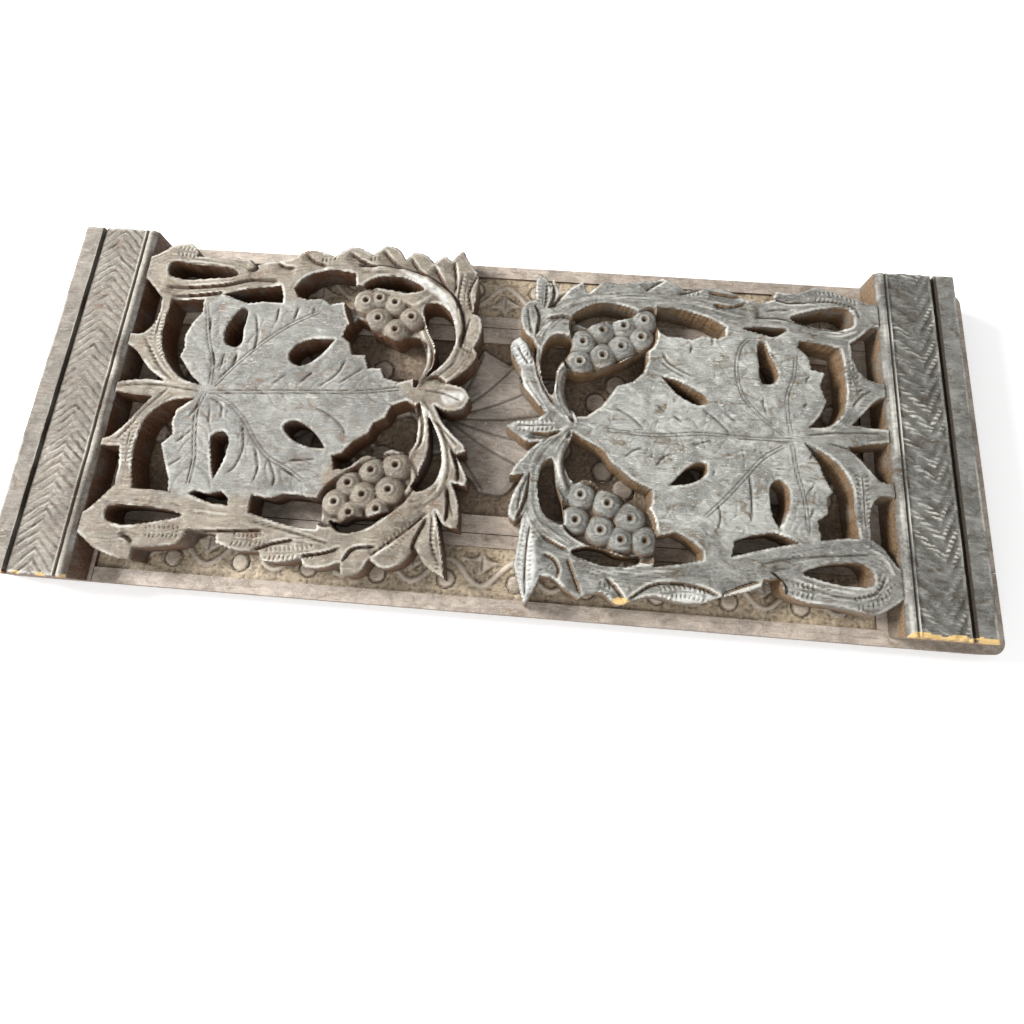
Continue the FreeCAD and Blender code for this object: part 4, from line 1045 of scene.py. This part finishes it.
def carve_panel(c, leaf_line, strokes):
    """The vine leaf, its scrolling stems with lapped leaflets, and two bunches of grapes."""
    leaf = c.depth_in(leaf_line)
    c.stain = ease((3.0 - leaf) / 5.0)
    root_x, root_y = strokes["root"]
    c.rub_and_highlight *= 0.3 + 0.7 * ease((np.hypot(c.X - root_x, c.Y - root_y) - 3.0) / 9.0)
    worn = np.clip(0.85 + 0.6 * noise(c.X, c.Y, 1.6, 91), 0, 1)
    for outline in strokes["pale"]:
        shape = c.depth_in(closed_line(outline), 3.0)
        c.pale = np.maximum(c.pale, ease((shape + 0.5) / 1.8) * worn)
    # Pale rims along the edges of the wood: partly worn, partly painted highlight.
    worn = np.clip(0.05 + noise(c.X, c.Y, 6, 92) + 0.6 * noise(c.X, c.Y, 1.5, 93), 0, 0.85)
    c.pale = np.maximum(c.pale, peak(c.inside - 0.55, 0.75) * worn)
    c.z[:] = PANEL_TOP - 0.8 + 0.35 * noise(c.X, c.Y, 17, 3)
    for line, width in strokes["combs"]:
        c.comb(line, width)
    c.cracks(leaf_line, *strokes["cracks"])
    flat, clear = c.z.copy(), c.tone.copy()
    for k, line in enumerate(strokes["veins"]):
        c.veinlets(line, *strokes["veinlets"], seed=200 + k)
    c.z = np.where(leaf > 0.4, c.z, flat)
    c.tone = np.where(leaf > 0.4, c.tone, clear)
    for line in strokes["veins"]:
        c.vein(line, strokes["vein_depth"])
    for line in strokes["lines"]:
        c.groove(line, 2.6, 0.22, sharp=False)
        c.groove(line, 1.2, 0.5)
    for line, side in strokes["steps"]:
        c.step(line, 5.0, 1.5, side)
        c.groove(line, 1.4, 0.7)
    for line in strokes["ticks"]:
        c.ticks(line, 0.5, 2.2, 1.7, 0.5)
        c.groove(line, 1.1, 0.35)
    for line, width, height in strokes["ridges"]:
        c.ridge(line, width, height)
        c.groove(line, width + 3.0, 0.4, sharp=False)
    for outline, z in strokes["sunk"]:
        c.level(closed_line(outline), z, 1.2)
    for line in strokes["stems"]:
        c.ridge(line, 3.4, 1.6)
    bunch = np.zeros(c.X.shape)
    for x, y, radius in strokes["grapes"]:
        radius += 1.1
        c.dome(x, y, radius, GRAPE_LOW, GRAPE_HEIGHT)
        bunch = np.maximum(bunch, ease(1.6 - np.hypot(c.X - x, c.Y - y) / radius))
    c.stain = np.maximum(c.stain, 1.25 * bunch)


# ---- base
WOOD = {
    # The left book end's walls are a darker brown than the right's, though the wood is one: painted shade on
    # the left walls, which face away from the key lamp, and painted light on the right ones, which face it.
    "left": wood_material("walnut_left", (0.215, 0.212, 0.192), (0.115, 0.052, 0.021), (0.05, 0.031, 0.018),
                          (0.56, 0.53, 0.46), stained=(1.0, 0.87, 0.74), foot=(0.84, 0.86, 0.90), bump=0.7),
    "right": wood_material("walnut_right", (0.30, 0.30, 0.275), (0.22, 0.135, 0.068), (0.05, 0.037, 0.023),
                           (0.64, 0.62, 0.55), stained=(0.66, 0.65, 0.64), foot=(0.82, 0.82, 0.82), bump=0.8,
                           mottle=1.5),
    "relief": wood_material("walnut_relief", (0.40, 0.34, 0.275), (0.12, 0.07, 0.04), (0.06, 0.042, 0.026),
                            (0.60, 0.52, 0.42), stained=(1.0, 0.94, 0.80)),
    "field": wood_material("walnut_field", (0.27, 0.235, 0.20), (0.12, 0.07, 0.04), (0.05, 0.034, 0.02),
                           (0.48, 0.41, 0.32), stained=(0.66, 0.55, 0.42)),
    "base": wood_material("walnut_base", (0.38, 0.322, 0.268), (0.16, 0.10, 0.06), (0.06, 0.042, 0.026),
                          (0.56, 0.47, 0.38), mottle=0.9),
    "plain": wood_material("walnut_plain", (0.12, 0.07, 0.04), (0.10, 0.06, 0.035), (0.05, 0.03, 0.02),
                           (0.2, 0.14, 0.1), mottle=0.4),
}
METAL = {
    "brass": metal_material("aged_brass", (0.36, 0.27, 0.13)),
    "steel": metal_material("dull_steel", (0.35, 0.33, 0.30)),
}
SINK = 1.6              # depth of the sunk fields of the base
FLOOR = BASE_TOP - SINK
STRIP_IN = 48.0         # the rails' strips run from here out to STRIP_OUT
STRIP_OUT = 66.6
CARVED_END = 145.0
FIELD_START = -141.5
FIELD_EDGE = 36.0
BERRY_STEP = 26.3       # from one berry of a strip to the next
BERRY_PLACE = 13.2
BERRY_LINE = 60.6
FIELD_STEM = [(140, -4), (118, 6), (92, 0), (62, -6), (36, 4), (0, 0)]
FIELD_BERRIES = [(52, -22), (44, -15), (40, 13), (48, 21), (57, 16), (60, -14), (126, 22), (134, 14),
                 (128, -20), (136, -12)]
TENDRIL_LINE, TENDRIL_WAVE = 57.6, 4.6
VINE_LEAF = [
    (-4, -27, 1), (-8, -22), (-16, -20), (-19, -12, 1), (-27, -13), (-31, -6), (-26, -3, 1), (-34, 3),
    (-33, 12, 1), (-27, 11), (-22, 15, 1), (-24, 23), (-15, 24, 1), (-11, 26), (-7, 33, 1), (-2, 30),
    (4, 27, 1), (11, 29), (15, 21, 1), (24, 21), (24, 12, 1), (30, 8), (27, 0, 1), (31, -8), (25, -15, 1),
    (16, -14), (12, -19, 1), (6, -27),
]
LEAF_ROOT = (-20, 2)
LEAF_TIPS = [
    (-31, -6), (-16, -19), (-2, -27), (14, -17), (30, -7), (29, 8), (22, 21), (8, 28), (-7, 32), (-22, 22),
]


def sunk_ground(c):
    """The ground of a sunk field: stippled all over with a small punch."""
    edges = np.minimum.reduce([c.X - c.x[0], c.x[-1] - c.X, c.Y - c.y[0], c.y[-1] - c.Y])
    c.inside = np.minimum(edges, REACH)
    dots = noise(c.X, c.Y, 0.8, 31)
    c.z[:] = FLOOR + 0.42 + 0.2 * dots + 0.12 * noise(c.X, c.Y, 5, 32)
    # The low spots of the punch marks get a darker colour: painted shade.
    c.tone[:] = -0.6 * np.clip(-dots, 0, 1)


def vine_leaf(c, x, y, turn, size=1.0):
    """A broad leaf lying on the ground, with veins fanning from its root."""
    cs, sn = math.cos(math.radians(turn)) * size, math.sin(math.radians(turn)) * size

    def place(p):
        return (x + cs * p[0] - sn * p[1], y + sn * p[0] + cs * p[1]) + tuple(p[2:])

    f = c.depth_in(closed_line([place(p) for p in VINE_LEAF]))
    body = FLOOR + 1.5 - 0.6 * ease((3.0 - f) / 3.0) + 0.1 * noise(c.X, c.Y, 6, 41)
    on = ease((f + 0.3) / 0.8)
    c.z += (body - c.z) * on
    c.tone *= 1 - on
    # A dark line round the leaf's edge, where it meets the ground: painted shade.
    c.tone = np.minimum(c.tone, -0.85 * peak(f + 0.3, 0.8))
    c.stain *= 1 - on
    for tip in LEAF_TIPS:
        bend = ((LEAF_ROOT[0] + tip[0]) / 2 + 0.06 * tip[1], (LEAF_ROOT[1] + tip[1]) / 2 - 0.06 * tip[0])
        c.groove([place(LEAF_ROOT), place(bend), place(tip)], 1.8, 0.55)


def tendril(c, points, width, height=1.0):
    """A round stem lying on the ground."""
    w, dist, _, _, _ = c.near(open_line(points), width)
    on = dist < width / 2
    body = FLOOR + 0.4 + height * np.sqrt(bulge(dist, width / 2))
    c.z[w] = np.maximum(c.z[w], np.where(on, body, 0))
    c.tone[w] *= np.where(on, 0.2, 1)
    c.stain[w] *= np.where(on, 0.0, 1)


def berry(c, x, y, radius=3.3):
    c.dome(x, y, radius, FLOOR + 0.3, 1.25, eye=False)
    r = np.hypot(c.X - x, c.Y - y)
    c.z -= 0.5 * peak(r - radius, 0.5)
    c.stain[r < radius] = 0.3
    # A dark ring round the berry, where it meets the ground: painted shade.
    c.tone = np.where(r < radius, 0.0, np.minimum(c.tone, -0.7 * peak(r - radius - 0.2, 0.6)))


def rail_strip(name, y_sign):
    """A tendril that waves round a row of berries, with a small leaf in each bend."""
    y0, y1 = sorted((y_sign * STRIP_IN, y_sign * STRIP_OUT))
    c = Carving(RAIL_START, CARVED_END, y0, y1, FLOOR)
    sunk_ground(c)
    xs = np.arange(RAIL_START + 3, CARVED_END - 2, 2.0)
    ys = TENDRIL_LINE - TENDRIL_WAVE * np.cos(2 * math.pi * (xs - BERRY_PLACE) / BERRY_STEP)
    tendril(c, list(zip(xs, y_sign * ys)), 2.1, 0.8)
    first = math.ceil((RAIL_START + 6 - BERRY_PLACE) / BERRY_STEP)
    last = math.floor((CARVED_END - 6 - BERRY_PLACE) / BERRY_STEP)
    for k in range(first, last + 1):
        x = BERRY_PLACE + k * BERRY_STEP
        berry(c, x, y_sign * BERRY_LINE)
        leaf_x = x + BERRY_STEP / 2
        if leaf_x > CARVED_END - 10:
            continue
        leaf = [(leaf_x - 1, 58.5, 1), (leaf_x - 3.5, 55.5), (leaf_x - 7.5, 52, 1), (leaf_x - 2.5, 52.2),
                (leaf_x, 49, 1), (leaf_x + 2.5, 52.4), (leaf_x + 7, 53.5, 1), (leaf_x + 3, 56)]
        line = closed_line([(p[0], y_sign * p[1]) + tuple(p[2:]) for p in leaf])
        leafy = c.level(line, FLOOR + 1.35, 0.9)
        c.tone *= 1 - leafy
        c.stain *= 1 - leafy
        for dx, y in ((-5.5, 53), (0, 50.5), (5.5, 54)):
            c.groove([(leaf_x, y_sign * 58.5), (leaf_x + dx, y_sign * y)], 1.3, 0.5)
    obj = mesh_from(c, name + "_carving", FLOOR - 0.3)
    obj.data.materials.append(WOOD["relief"])
    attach(obj, "right_base")


def centre_field():
    """Sunk field of the sliding board: three broad leaves on a stem, with berries between them."""
    c = Carving(FIELD_START, CARVED_END, -FIELD_EDGE, FIELD_EDGE, FLOOR, grid=0.6)
    sunk_ground(c)
    c.z -= 0.22
    for side in (-1, 1):
        tendril(c, [(side * x, y) for x, y in FIELD_STEM], 4.0)
        for x, y in FIELD_BERRIES:
            tendril(c, [(side * x, y), (side * (x + 8), y * 0.5), (side * (x + 16), 2)], 2.4)
            berry(c, side * x, y, 4.2)
    vine_leaf(c, -93, 0, 90, 0.95)
    vine_leaf(c, 93, 0, -90, 0.95)
    vine_leaf(c, 0, 0, 0)
    obj = mesh_from(c, "centre_carving", FLOOR - 0.3)
    obj.data.materials.append(WOOD["field"])
    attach(obj, "left_base")


def centre_plank():
    """The sliding board itself, with its sunk field cleared for the carving."""
    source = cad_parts["centre_board"]
    mesh = source.data.copy()
    mesh.transform(source.matrix_world)
    bm = bmesh.new()
    bm.from_mesh(mesh)
    bmesh.ops.remove_doubles(bm, verts=bm.verts, dist=1e-6)
    bm.to_mesh(mesh)
    bm.free()
    obj = add_object("centre_plank", mesh)
    lap = 0.05
    cut_away(obj, [bar(FIELD_START + lap, CARVED_END - lap, lap - FIELD_EDGE, FIELD_EDGE - lap, FLOOR - 0.2,
                       BASE_TOP + 1)])
    obj.data.materials.clear()
    obj.data.materials.append(WOOD["base"])
    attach(obj, "left_base")
    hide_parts("centre_board")


def dress_cad():
    """Materials of the CAD pieces that show as they are."""
    for name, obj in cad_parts.items():
        if "leaf" in name:
            m = METAL["brass"]
        elif "pin" in name or "screws" in name:
            m = METAL["steel"]
        elif "cleat" in name or "dowel" in name or name == "stop_peg":
            m = WOOD["plain"]
        else:
            m = WOOD["base"]
        obj.data.materials.clear()
        obj.data.materials.append(m)


dress_cad()
book_end("left", -1, LEFT_OUTER, LEFT_OPENINGS, LEFT_LEAF, LEFT_STROKES)
book_end("right", 1, RIGHT_OUTER, RIGHT_OPENINGS, RIGHT_LEAF, RIGHT_STROKES)
rail_strip("front_rail", -1)
rail_strip("back_rail", 1)
centre_plank()
centre_field()


# ---- stage
LENS, SHIFT_UP = 24.93, -0.1064
CAMERA_PLACE = (0.01948, -0.08026, 0.2725 + BASE_TOP * MM)
CAMERA_TILT, CAMERA_ROLL, CAMERA_YAW = (math.radians(v) for v in (-18.39, -2.64, -3.91))


def camera():
    """The camera stands where the photograph's did."""
    data = bpy.data.cameras.new("camera")
    data.sensor_width = 36.0
    data.lens = LENS
    data.shift_y = SHIFT_UP
    obj = add_object("camera", data)
    turn = (Matrix.Rotation(CAMERA_YAW, 3, "Z") @ Matrix.Rotation(CAMERA_ROLL, 3, "Y")
            @ Matrix.Rotation(CAMERA_TILT, 3, "X"))
    obj.matrix_world = Matrix.Translation(CAMERA_PLACE) @ turn.transposed().to_4x4()
    bpy.context.scene.camera = obj


def area_light(name, place, size, power):
    """A round lamp that looks at the middle of the object."""
    data = bpy.data.lights.new(name, "AREA")
    data.shape = "DISK"
    data.size = size
    data.energy = power
    obj = add_object(name, data)
    turn = (-Vector(place)).to_track_quat("-Z", "Y").to_matrix().to_4x4()
    obj.matrix_world = Matrix.Translation(place) @ turn


def floor():
    corners = [(4.0 * x, 4.0 * y, 0) for x, y in ((-1, -1), (1, -1), (1, 1), (-1, 1))]
    mesh = bpy.data.meshes.new("floor")
    mesh.from_pydata(corners, [], [(0, 1, 2, 3)])
    m, shader, _, give = new_material("pale_floor", 0.9)
    give(shader, {"Base Color": (0.9, 0.9, 0.9, 1), "Emission Color": (1, 1, 1, 1),
                  "Emission Strength": 0.25})
    mesh.materials.append(m)
    obj = add_object("floor", mesh)


camera()
floor()
area_light("key", (-0.85, 0.2, 0.62), 0.4, 22)
area_light("fill", (-0.1, -0.9, 0.7), 0.9, 6)
world = bpy.data.worlds.new("studio")
world.use_nodes = True
sky = world.node_tree.nodes["Background"].inputs
sky["Color"].default_value = (1, 1, 1, 1)
sky["Strength"].default_value = 0.58
bpy.context.scene.world = world
bpy.context.scene.view_settings.view_transform = "Standard"

bpy.context.view_layer.update()
